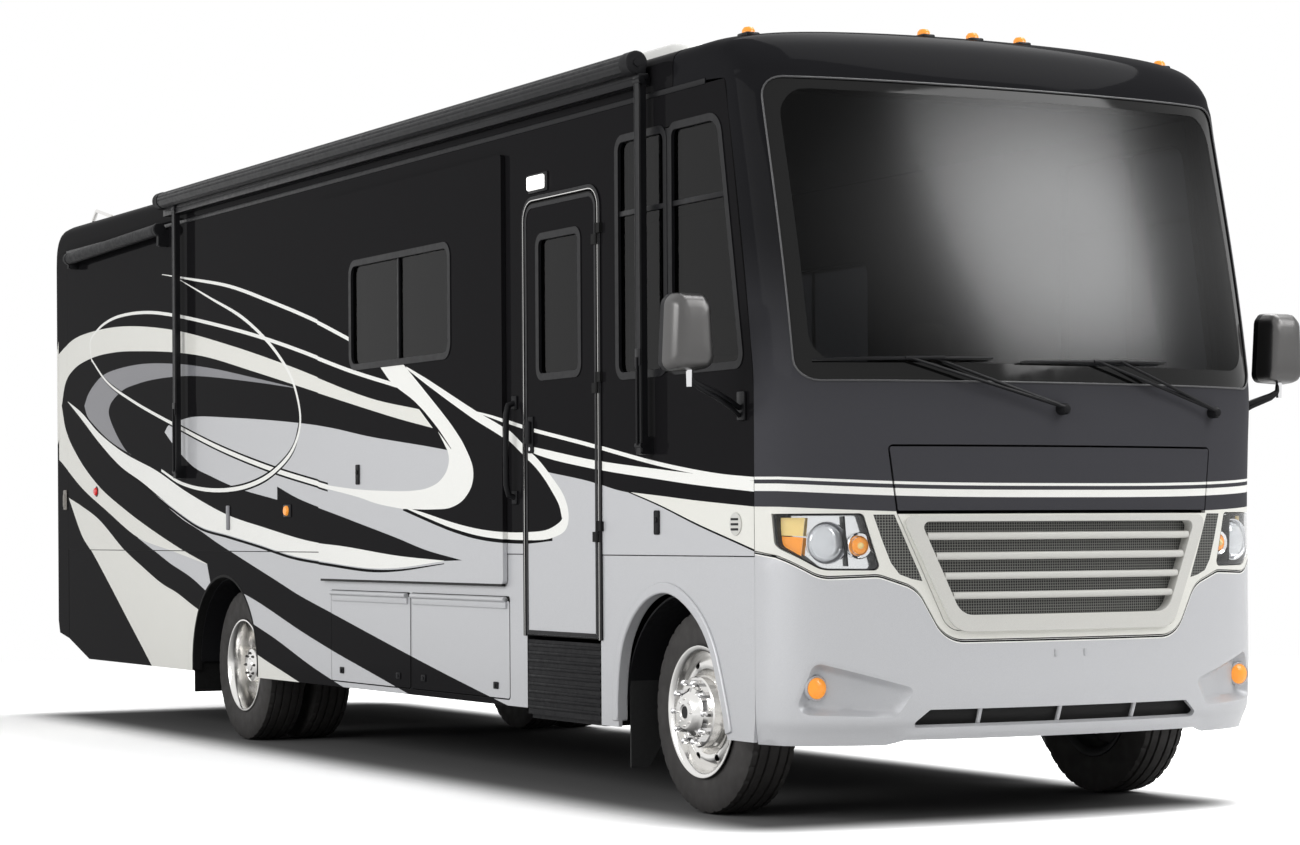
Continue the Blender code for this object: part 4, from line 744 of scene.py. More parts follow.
STRIPE_UPPER = [(-1.700, 1.712), (-1.397, 1.675), (-0.816, 1.604), (-0.200, 1.551), (0.152, 1.523),
                (0.700, 1.480)]
STRIPE_LOWER = [(0.700, 1.435), (0.152, 1.474), (-0.200, 1.505), (-0.816, 1.563), (-1.397, 1.638),
                (-1.700, 1.705)]
SILVER_TOP = [(-1.291, 1.555), (-0.904, 1.510), (-0.552, 1.455), (-0.200, 1.431), (0.152, 1.405),
              (0.700, 1.371)]
CREAM_TOP = [(-0.500, 1.452), (-0.200, 1.431), (0.152, 1.405), (0.700, 1.371)]
PIN_LINE = [(0.700, 1.176), (0.504, 1.220), (0.152, 1.299), (-0.200, 1.387), (-0.500, 1.452)]

BODY_BACK = LONG_STROKE_LOWER[:9][::-1]
SIDE_REGIONS = [
    ("silver", loop_of(FIELD_EDGE[::-1], BODY_BACK, [(-2.312, 1.126), (-3.200, 1.400)], BEND_LOWER[::-1],
                       [(-1.168, 1.404), (-1.282, 1.500), (-1.330, 1.560)], SILVER_TOP)
                       + [(0.700, 0.30), (-1.690, 0.30)]),
    ("silver", loop_of(INNER_FIELD_UPPER, [(-2.440, 1.690), (-2.440, 1.42)],
                       [(-3.064, 1.400), (-2.312, 1.126)], INNER_FIELD_FRONT, INNER_FIELD_LOWER)),
    ("silver", loop_of(BAND_UPPER, BAND_LOWER)),
    ("cream", loop_of(SLIVER_EDGE) + [(-5.7, 0.30), (-5.7, 0.62)]),
    ("silver", loop_of(THIN_BAND_EDGE, [(-6.154, 1.076), (-6.826, 1.161), (-7.472, 1.245)])),
    ("cream", loop_of(WEDGE_UPPER, [(-6.1, 0.30), (-7.1, 0.30)], WEDGE_LOWER)),
    ("cream", loop_of(SWEEP_TOP, SWEEP_UNDER, SWEEP_LOW_INNER, SWEEP_LOW_OUTER)),
    ("grey", loop_of(GREY_OUTER, GREY_INNER, GREY_FOOT)),
    ("black", ribbon([(x, z - 0.014) for x, z in LONG_STROKE_LOWER[:12]],
                     [0.005, 0.016, 0.016, 0.016, 0.016, 0.012, 0.004])),
    ("white", loop_of(LONG_STROKE_UPPER, LONG_STROKE_LOWER)),
    ("black", ribbon(ELLIPSE_LOW, [0.0, 0.03, 0.04, 0.045, 0.05, 0.05])),
    ("white", ribbon(ELLIPSE_TOP, [0.022, 0.022, 0.02, 0.016])),
    ("white", ribbon(ELLIPSE_LOW, [0.016, 0.018, 0.022, 0.026, 0.028])),
    ("black", ribbon(ROUND_LINE[5:], [0.03, 0.046, 0.05, 0.046, 0.03, 0.01])),
    ("white", ribbon(ROUND_LINE, [0.004, 0.022, 0.024, 0.026, 0.026, 0.024, 0.016])),
    ("white", ribbon(HIGH_LINE, [0.004, 0.018, 0.022, 0.022, 0.022])),
    ("black", ribbon([(x, z - 0.010) for x, z in BEND_LOWER[:0:-1]], [0.02, 0.040, 0.052, 0.054, 0.060])),
    ("white", loop_of(HOOK_OUTER, HOOK_LOWER, HOOK_INNER, HOOK_TOP)),
    ("black", ribbon([(-2.44, 1.70), (-2.60, 1.80), (-2.79, 1.905), (-2.92, 1.970)],
                     [0.004, 0.014, 0.012, 0.002])),
    ("white", ribbon(BEND_UPPER + BEND_LOWER[1:], [0.010, 0.030, 0.040, 0.046, 0.050, 0.048, 0.046, 0.050,
                                                   0.064, 0.078, 0.060, 0.044,
                                           0.036, 0.034, 0.030, 0.020, 0.004])),
    ("white", ribbon(STRIPE_THIN, [0.006, 0.018, 0.019, 0.019, 0.016])),
    ("white", loop_of(STRIPE_UPPER, STRIPE_LOWER)),
    ("cream", loop_of(CREAM_TOP, PIN_LINE)),
    ("black", ribbon(PIN_LINE, [0.009, 0.009, 0.006])),
]


# The edge of the front wheel opening, from its rear foot over the top to its front foot
FRONT_EDGE = [(-0.615, 0.362), (-0.612, 0.500), (-0.594, 0.632), (-0.553, 0.755), (-0.463, 0.868),
              (-0.335, 0.952),
              (-0.192, 0.989), (-0.080, 0.982), (0.030, 0.944), (0.130, 0.886), (0.205, 0.822),
              (0.270, 0.735),
              (0.331, 0.597), (0.378, 0.470), (0.408, 0.362)]


def side_place(side, y=HALF_W):
    """Where a skin's point lies on one side, d outwards from y."""
    return lambda x, z, d: (x, side * (y + d), z)


def arch(centre_x, half, top, low, steps=30):
    height = top - AXLE_Z
    out = [(centre_x - half, low)]
    for k in range(steps + 1):
        angle = pi - pi * k / steps
        out.append((centre_x + half * cos(angle), AXLE_Z + height * sin(angle)))
    out.append((centre_x + half, low))
    return out


def arch_edge(place, low):
    return spline(FRONT_EDGE, 4) if place == "front" else arch(*ARCHES[place], low)


def widened(line, width, low):
    """An open line over a wheel, moved outwards; its feet stay on the given height or above."""
    out = []
    for i, p in enumerate(line):
        along = (Vector(line[min(i + 1, len(line) - 1)]) - Vector(line[max(i - 1, 0)])).normalized()
        out.append((p[0] - along.y * width, max(p[1] + along.x * width, low)))
    return out


CAB_GLASS = rounded([(-0.60, 1.985), (0.567, 1.985), (0.37, 3.09), (-0.60, 3.09)], [0.06, 0.06, 0.10, 0.06])
LIVING_GLASS = rectangle(-3.75, 2.18, -2.42, 2.76, 0.07)
LEFT_GLASS = rectangle(-3.75, 2.00, -2.42, 2.76, 0.07)
DOOR_GLASS = rectangle(-1.43, 2.02, -0.97, 2.71, 0.05)
SEAM_LINE = [(SEAM_X, WALL_BOTTOM), (SEAM_X, 1.90), (0.630, 2.10), (0.450, 3.10), (0.420, WALL_TOP)]


def wall_outline(right):
    g = GROOVE
    out = [(REAR_SEAM_X + g, WALL_BOTTOM + g)]
    if right:
        out += [(SLIDE_X0 - g, WALL_BOTTOM + g), (SLIDE_X0 - g, SLIDE_Z1 + g), (SLIDE_X1 + g, SLIDE_Z1 + g),
                (SLIDE_X1 + g, WALL_BOTTOM + g), (DOOR_X0 - g, WALL_BOTTOM + g)]
        top = rounded([(DOOR_X0 - g, WALL_BOTTOM), (DOOR_X0 - g, DOOR_Z1 + g), (DOOR_X1 + g, DOOR_Z1 + g),
                       (DOOR_X1 + g, WALL_BOTTOM)], [0, 0.09, 0.09, 0])
        out += top[1:-1] + [(DOOR_X1 + g, WALL_BOTTOM + g)]
    out += [(x - g, z + (g if i == 0 else 0)) for i, (x, z) in enumerate(SEAM_LINE)]
    out += [(REAR_SEAM_X + g, WALL_TOP)]
    return out


def skirt_outline(front, rear, arches, slant=False, slide=False):
    g = GROOVE
    top = WALL_BOTTOM - g
    low = SKIRT_BOTTOM if front < 0 else FRONT_SKIRT_BOTTOM
    out = [(rear + g, top)]
    out += [(rear + g, 0.535), (-8.53, low)] if slant else [(rear + g, low)]
    for place in arches:
        out += arch_edge(place, low)
    if front > 0:
        out += [(front - g - 0.018, low), (front - g - 0.003, 0.46), (front - g, 0.60), (front - g, top)]
    else:
        out += [(front - g, low), (front - g, top)]
    if slide:
        out += [(SLIDE_X1 + g, top), (SLIDE_X1 + g, SLIDE_Z0 - g), (SLIDE_X0 - g, SLIDE_Z0 - g),
                (SLIDE_X0 - g, top)]
    return out


bay_rects = [rectangle(x0, BAY_Z0, x1, BAY_Z1, 0.02) for x0, x1 in BAYS]
for side, tag in SIDES:
    holes = [shrink(CAB_GLASS, -0.002)]
    if side > 0:
        holes.append(shrink(LEFT_GLASS, -0.002))
    painted(f"wall_{tag}", wall_outline(side < 0), holes, SIDE_REGIONS, "dark", side_place(side))
    bay_holes = [rectangle(x0 - GROOVE, BAY_Z0 - GROOVE, x1 + GROOVE, BAY_Z1 + 0.020, 0.02) for x0,
                 x1 in BAYS]
    if side < 0:
        panels = painted("skirt_front_right", skirt_outline(SEAM_X, DOOR_X1, ["front"]), [], SIDE_REGIONS,
                         "dark",
                         side_place(side, HALF_W - 0.002), low=-0.018)
        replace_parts(panels["silver"], "skirt_right_front")
        painted("skirt_rear_right", skirt_outline(DOOR_X0, REAR_SEAM_X, ["rear"], True, True), bay_holes,
                SIDE_REGIONS, "dark", side_place(side, HALF_W - 0.002))
    else:
        panels = painted("skirt_whole_left", skirt_outline(SEAM_X, REAR_SEAM_X, ["rear", "front"], True),
                         bay_holes, SIDE_REGIONS, "dark", side_place(side, HALF_W - 0.002), low=-0.018)
        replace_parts(panels["silver"], "skirt_left")
    for rect, place in zip(bay_rects, ("rear", "front")):
        painted(f"bay_door_{tag}_{place}", shrink(rect, 0.0045), [], SIDE_REGIONS, "dark",
                side_place(side, HALF_W - 0.001), body=f"baggage_door_{tag}_{place}")
door_outline = rounded([(DOOR_X0 + 0.012, DOOR_Z0 + 0.012), (DOOR_X1 - 0.012, DOOR_Z0 + 0.012),
                        (DOOR_X1 - 0.012, DOOR_Z1 - 0.012), (DOOR_X0 + 0.012, DOOR_Z1 - 0.012)],
                        [0.004, 0.004, 0.08, 0.08])
painted("entry_door_skin", door_outline, [shrink(DOOR_GLASS, -0.002)], SIDE_REGIONS, "dark",
        side_place(-1, HALF_W + 0.006), body="entry_door")
FASCIA = rectangle(SLIDE_X0 - 0.035, SLIDE_Z0 - 0.018, SLIDE_X1 + 0.050, SLIDE_Z1 + 0.040, 0.02)
slide_regions = [(key, [(x + 0.028, z) for x, z in loop]) for key, loop in SIDE_REGIONS]
painted("slideout_skin", shrink(FASCIA, -0.001), [shrink(LIVING_GLASS, -0.002)], slide_regions, "dark",
        side_place(-1, HALF_W + 0.026), body="slideout", low=-0.0225)
Shape().box((SLIDE_X0 - 0.015, -(HALF_W + 0.004), SLIDE_Z0 - 0.032),
            (SLIDE_X1 + 0.030, -(HALF_W + 0.0255), SLIDE_Z0 - 0.0185),
            0.001).make("slideout_seal", "gap", "slideout")


# The nose: a shell that bends round the front, smooth between its rows
# A row: t, x and z at the side, half width, x and z at the middle, and how square the bend is
NOSE_ROWS = (
    (0.34, 0.632, 0.340, 1.262, 1.070, 0.340, 2.5),
    (0.40, 0.640, 0.400, 1.275, 1.100, 0.400, 2.5),
    (0.46, 0.652, 0.460, 1.286, 1.138, 0.460, 2.5),
    (0.60, 0.655, 0.600, 1.289, 1.150, 0.600, 2.5),
    (1.35, 0.655, 1.350, 1.289, 1.140, 1.350, 2.5),
    (1.65, 0.655, 1.650, 1.289, 1.128, 1.650, 2.7),
    (1.90, 0.655, 1.900, 1.289, 1.105, 1.900, 3.0),
    (2.10, 0.630, 2.100, 1.289, 1.072, 2.100, 3.0),
    (3.10, 0.450, 3.100, 1.289, 0.805, 3.100, 3.0),
    (3.24, 0.420, 3.240, 1.289, 0.760, 3.240, 3.0),
    (3.34, 0.370, 3.247, 1.289, 0.690, 3.345, 4.0),
    (3.44, 0.300, 3.252, 1.289, 0.590, 3.440, 5.0),
    (3.54, 0.220, 3.256, 1.289, 0.455, 3.490, 6.5),
    (3.70, 0.100, 3.260, 1.289, 0.250, 3.495, 8.0),
    (3.90, -0.050, 3.260, 1.289, -0.050, 3.495, 8.0),
)
TAIL_ROWS = (
    (0.57, -9.190, 0.570, 1.280, -9.262, 0.570, 9.0),
    (0.66, -9.190, 0.660, 1.289, -9.270, 0.660, 9.0),
    (3.14, -9.190, 3.140, 1.289, -9.270, 3.140, 9.0),
    (3.27, -9.180, 3.215, 1.289, -9.260, 3.290, 9.0),
    (3.37, -9.150, 3.243, 1.289, -9.225, 3.400, 8.5),
    (3.45, -9.100, 3.255, 1.289, -9.160, 3.470, 8.0),
    (3.53, -9.040, 3.259, 1.289, -9.075, 3.492, 8.0),
    (3.62, -8.980, 3.260, 1.289, -8.980, 3.495, 8.0),
)
ROW_HALF_W = 1.289


class Hull:
    """A surface from rows of numbers, each column a smooth curve of t; s runs from -1 at the right to 1."""

    def __init__(self, rows, outward_from):
        self.t = np.array([r[0] for r in rows])
        self.v = np.array([r[1:] for r in rows])
        h = np.diff(self.t)[:, None]
        d = np.diff(self.v, axis=0) / h
        m = np.zeros_like(self.v)
        m[0], m[-1] = d[0], d[-1]
        for i in range(1, len(rows) - 1):
            same = d[i - 1] * d[i] > 0
            w1 = 2 * h[i, 0] + h[i - 1, 0]
            w2 = h[i, 0] + 2 * h[i - 1, 0]
            with np.errstate(divide="ignore", invalid="ignore"):
                mean = (w1 + w2) / (w1 / d[i - 1] + w2 / d[i])
            m[i] = np.where(same, mean, 0.0)
        self.m = m
        self.outward_from = Vector(outward_from)

    def row(self, t):
        i = int(np.clip(np.searchsorted(self.t, t) - 1, 0, len(self.t) - 2))
        h = self.t[i + 1] - self.t[i]
        k = (t - self.t[i]) / h
        k2, k3 = k * k, k * k * k
        return (self.v[i] * (2 * k3 - 3 * k2 + 1) + self.m[i] * h * (k3 - 2 * k2 + k)
                + self.v[i + 1] * (3 * k2 - 2 * k3) + self.m[i + 1] * h * (k3 - k2))

    def at(self, s, t):
        xs, zs, w, xm, zm, q = self.row(t)
        f = max(cos(s * pi / 2), 0.0) ** (2 / q)
        return Vector((xs + (xm - xs) * f, w * HALF_W / ROW_HALF_W * sin(s * pi / 2), zs + (zm - zs) * f))

    def out(self, s, t):
        if abs(s) > 0.985:
            return Vector((0, 1 if s > 0 else -1, 0))
        e = 0.006
        t0, t1 = max(t - e, self.t[0]), min(t + e, self.t[-1])
        n = (self.at(s + e, t) - self.at(s - e, t)).cross(self.at(s, t1) - self.at(s, t0)).normalized()
        return n if n.dot(self.at(s, t) - self.outward_from) > 0 else -n

    def place(self, s, t, d):
        p = self.at(s, t)
        return p + self.out(s, t) * d if d else p


nose = Hull(NOSE_ROWS, (-0.6, 0, 2.0))
tail = Hull(TAIL_ROWS, (-8.0, 0, 2.0))


def s_of(y):
    return asin(max(-1.0, min(1.0, y / HALF_W))) * 2 / pi


def to_s(loop, step=0.03):
    return [(s_of(y), t) for y, t in split_long(loop, step)]


def wide_grid(s_steps, ts):
    return [(-1 + 2 * i / s_steps, t) for i in range(1, s_steps) for t in ts]


def distance_squared(points, loop):
    """For each point, the square of its distance from the loop's line."""
    best = np.full(len(points), np.inf)
    corners = np.array(loop)
    for p, q in zip(corners, np.roll(corners, -1, axis=0)):
        d = q - p
        k = np.clip(((points - p) @ d) / (d @ d + 1e-12), 0, 1)
        best = np.minimum(best, ((points - p - k[:, None] * d) ** 2).sum(axis=1))
    return best

def clear_of(points, loops, margin):
    """The points that keep clear of every loop's line, so that no sliver forms there."""
    points = np.array(points)
    kept = np.all([distance_squared(points, loop) > margin ** 2 for loop in loops], axis=0)
    return [tuple(p) for p in points[kept]]

def mirrored(loop):
    return [(-y, t) for y, t in reversed(loop)]

def on_side(loop, side):
    """A loop written for the right of the nose, or its image on the left."""
    return loop if side < 0 else mirrored(loop)


WINDSHIELD = rounded([(-1.215, 1.905), (1.215, 1.905), (1.215, 3.225), (-1.215, 3.225)], 0.09)
MOUTH = rounded([(-0.60, 0.840), (0.60, 0.840), (0.82, 1.346), (0.855, 1.632), (-0.855, 1.632),
                 (-0.82, 1.346)],
                [0.09, 0.09, 0, 0.02, 0.02, 0])
HOOD = rounded([(-0.82, 1.346), (0.82, 1.346), (0.855, 1.632), (-0.855, 1.632)], 0.015)
HEADLAMP = rounded([(-1.270, 1.340), (-1.264, 1.200), (-1.125, 1.103), (-0.893, 1.101), (-0.962, 1.340)],
                   [0.0, 0.05, 0.10, 0.02, 0.02])
BELT = [(-1.289, 1.180), (-1.130, 1.074), (-0.900, 1.082), (-0.738, 1.026), (-0.612, 0.800),
        (0.612, 0.800), (0.738, 1.026), (0.900, 1.082), (1.130, 1.074), (1.289, 1.180)]
BELT_SOFT = rounded([(-1.45, 1.30), *BELT[1:-1], (1.45, 1.30)], [0, 0.12, 0.10, 0.14, 0.15, 0.15, 0.14,
                                                                 0.10, 0.12, 0], 9)
belt = [(-1.289, 1.183)] + [p for p in BELT_SOFT if abs(p[0]) < 1.285] + [(1.289, 1.183)]
FOG = rounded([(-1.228, 0.483), (-0.823, 0.469), (-0.734, 0.600), (-1.158, 0.719)], [0.05, 0.03, 0.03, 0.04])
INTAKE = rounded([(-0.775, 0.428), (0.775, 0.428), (0.680, 0.505), (-0.680, 0.505)], 0.016)


def stripe(z0, z1):
    """A band across the nose that rises towards the sides, as the side stripes do."""
    ys = [-ROW_HALF_W + 2 * ROW_HALF_W * k / 40 for k in range(41)]
    lift = [0.033 * (abs(y) / ROW_HALF_W) ** 3 for y in ys]
    return [(y, z0 + d) for y, d in zip(ys, lift)] + [(y, z1 + d) for y, d in zip(ys[::-1], lift[::-1])]


FRONT_REGIONS = [
    ("cream", [(-1.30, 1.374)] + stripe(1.341, 1.341)[:41] + [(1.30, 0.6), (-1.30, 0.6)]),
    ("white", stripe(1.408, 1.440)),
    ("white", stripe(1.457, 1.469)),
]
FIN = [(-0.920, 1.336), (-0.882, 1.220), (-0.848, 1.130), (-0.812, 1.082), (-0.760, 1.062), (-0.712, 1.052),
       (-0.726, 1.088), (-0.762, 1.170), (-0.831, 1.336)]
FRONT_REGIONS += [("mesh", FIN), ("mesh", mirrored(FIN))]
front_s = [(key, to_s(loop)) for key, loop in FRONT_REGIONS]
CAP_ROWS = [1.0 + 0.05 * k for k in range(46)] + [3.24 + 0.02 * k for k in range(1, 34)]
cap_edge = [(y, t + GROOVE) for y, t in belt]
cap_edge += [(HALF_W, t) for t in (1.35, 1.65, 1.90, 2.10, 2.60, 3.10, 3.24, 3.34, 3.44, 3.54, 3.70)]
cap_edge += [(HALF_W * sin(pi / 2 * k / 24), 3.898) for k in range(24, -25, -1)]
cap_edge += [(-HALF_W, t) for t in (3.70, 3.54, 3.44, 3.34, 3.24, 3.10, 2.60, 2.10, 1.90, 1.65, 1.35)]
cap_s = to_s(cap_edge, 0.04)
hole_loops = [WINDSHIELD, MOUTH, HEADLAMP, mirrored(HEADLAMP)]
hole_s = [to_s(shrink(h, -0.002), 0.03) for h in hole_loops]
grid_s = clear_of(wide_grid(64, CAP_ROWS), [cap_s, *hole_s, *[r for _, r in front_s]], 0.008)
cap_pieces = painted("front_mask", cap_s, hole_s, front_s, "mask", nose.place, grid_s, low=-0.022, high=0.0,
                     smooth=40)
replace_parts(cap_pieces["mask"], "front_cap")

hood_s = to_s(shrink(HOOD, 0.007), 0.03)
hood_grid = clear_of(wide_grid(64, [1.35 + 0.03 * k for k in range(10)]),
                     [hood_s, *[r for _, r in front_s]], 0.008)
hood_pieces = painted("hood_lid", hood_s, [], front_s, "mask", nose.place, hood_grid, body="hood_door",
                      low=-0.020,
                      high=0.001, smooth=40)
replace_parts(hood_pieces["mask"], "hood_door")

# Bumper with fog recesses, sunk into the surface
FOG_DEPTH = 0.050


def edge_distance(loop, points):
    """How far each point is inside the loop; 0 outside."""
    points = np.array(points, float)
    return np.where(inside_many(loop, points), np.sqrt(distance_squared(points, loop)), 0.0)

def ease(x):
    x = max(0.0, min(1.0, x))
    return x * x * (3 - 2 * x)


def bumper_place(s, t, d):
    y = HALF_W * sin(s * pi / 2)
    depth = 0.0
    if 0.68 < abs(y) < 1.26 and 0.44 < t < 0.75:
        inner = float(edge_distance(FOG, [(-abs(y), t)])[0])
        reach = 0.3 + 0.7 * ease((abs(y) - 0.74) / 0.25)
        depth = FOG_DEPTH * reach * ease(inner / 0.036)
    lip = 0.012 * ease((0.86 - abs(y)) / 0.14) * ease((0.426 - t) / 0.02)
    return nose.at(s, t) + nose.out(s, t) * (d - depth + lip)


bumper_edge = [(y, 0.354 + 0.026 * ease((0.86 - abs(y)) / 0.10))
               for y in [-ROW_HALF_W + 2 * ROW_HALF_W * k / 60 for k in range(61)]]
bumper_edge += [(HALF_W, t) for t in (0.50, 0.60, 0.80, 1.0)] + [(y, t - GROOVE) for y, t in belt[::-1]]
bumper_edge += [(-HALF_W, t) for t in (1.0, 0.80, 0.60, 0.50)]
bumper_s = to_s(bumper_edge, 0.04)
intake_s = to_s(INTAKE, 0.03)
pin_loop = [(y, t - 0.004) for y, t in belt] + [(y, t - 0.011) for y, t in belt[::-1]]
fog_s = to_s(shrink(FOG, 0.006))
white_loop = belt + [(y, t - 0.016) for y, t in belt[::-1]]
# The fog recesses take the darker silver as painted shade.
bumper_regions = [("recess", fog_s), ("recess", mirrored(fog_s)), ("white", to_s(white_loop)),
                  ("black", to_s(pin_loop))]
bumper_rows = [0.3725 + 0.0125 * k for k in range(30)] + [0.76 + 0.04 * k for k in range(11)]
bumper_grid = clear_of(wide_grid(150, bumper_rows), [bumper_s, intake_s, *[r for _, r in bumper_regions]],
                       0.006)
bumper_pieces = painted("bumper", bumper_s, [intake_s], bumper_regions, "silver", bumper_place, bumper_grid,
                        low=-0.020, high=0.0, smooth=50)
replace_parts(bumper_pieces["silver"], "front_bumper")


def on_nose(y, t, d=0.0):
    return nose.place(s_of(y), t, d)


# Windshield: clear middle and a black printed edge
glass_s = to_s(shrink(WINDSHIELD, 0.002), 0.03)
clear_s = to_s(rounded([(-1.155, 1.985), (1.155, 1.985), (1.155, 3.175), (-1.155, 3.175)], 0.12), 0.03)
glass_grid = clear_of(wide_grid(48, [1.95 + 0.06 * k for k in range(22)]), [glass_s, clear_s], 0.01)
glass_pieces = painted("windshield", glass_s, [], [("windshield", clear_s)], "frit", nose.place, glass_grid,
                       low=-0.012, high=-0.004, smooth=60)
glass_pieces["windshield"].name = "windshield_pane"
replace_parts(glass_pieces["windshield"], "windshield")


def patch(name, hull, outline, holes, key, low, high, rows, columns=48, body="coach", smooth=45,
          margin=0.008):
    """A closed shell patch on a hull, its outline in y and t."""
    edge = to_s(outline)
    cuts = [to_s(h) for h in holes]
    inner = clear_of(wide_grid(columns, rows), [edge, *cuts], margin)
    flat = mesh_2d(edge, cuts, inner)
    shape = Shape().sheet(flat, lambda s, t: hull.place(s, t, low), lambda s, t: hull.place(s, t, high))
    return shape.make(name, key, body, smooth)


# Grille: a frame with bars, and a perforated mesh behind
GRILLE_OUT = rounded([(-0.575, 0.834), (0.575, 0.834), (0.805, 1.331), (-0.805, 1.331)],
                     [0.11, 0.11, 0.035, 0.035])
mouth_line = [p for p in shrink(MOUTH, 0.001) if p[1] < 1.330]
mouth_line += [(0.816 - 1.632 * k / 16, 1.338) for k in range(17)]
patch("grille_surround", nose, mouth_line, [shrink(GRILLE_OUT, 0.02)], "cream", -0.026, 0.003,
      [0.86 + 0.05 * k for k in range(10)])
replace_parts(bpy.data.objects["grille_surround"], "grille")
GRILLE_IN = rounded([(-0.545, 0.905), (0.545, 0.905), (0.722, 1.305), (-0.722, 1.305)],
                    [0.090, 0.090, 0.025, 0.025])
frame_ring = patch("grille_frame", nose, GRILLE_OUT, [GRILLE_IN], "grille", -0.030, 0.020,
                   [0.86 + 0.05 * k for k in range(10)], smooth=60)
cut_edges(frame_ring, 0.009, 3, 50)
bars = Shape()
for z, tall in ((1.243, 0.017), (1.158, 0.017), (1.073, 0.016), (0.989, 0.016)):
    half = 0.540 + (z - 0.905) * (0.722 - 0.545) / (1.305 - 0.905)
    ys = [-half + 2 * half * k / 32 for k in range(33)]
    ring = [(0.004, -tall), (0.014, -tall * 0.7), (0.017, 0.0), (0.013, tall * 0.75), (0.002, tall),
            (-0.022, tall * 0.6),
            (-0.022, -tall * 0.6)]
    points = [nose.place(s_of(y), z + dz, d) for y in ys for d, dz in ring]
    bars.add(points, capped_faces(len(ys), len(ring)))
bars.make("grille_bars", "grille", smooth=50)
patch("grille_mesh", nose, shrink(GRILLE_IN, -0.012), [], "mesh", -0.034, -0.026,
      [0.9 + 0.06 * k for k in range(7)])
# Painted shade: a near-black sheet behind the intake opening.
patch("intake_shade_sheet", nose, rectangle(-0.90, 0.400, 0.90, 0.560), [], "gap", -0.062, -0.055, [0.46, 0.48])
dividers = Shape()
for y in (-0.435, -0.03, 0.385):
    dividers.tube([nose.place(s_of(y), 0.420, -0.03), nose.place(s_of(y + 0.004), 0.514, -0.03)], 0.010, 8)
dividers.make("intake_dividers", "silver")


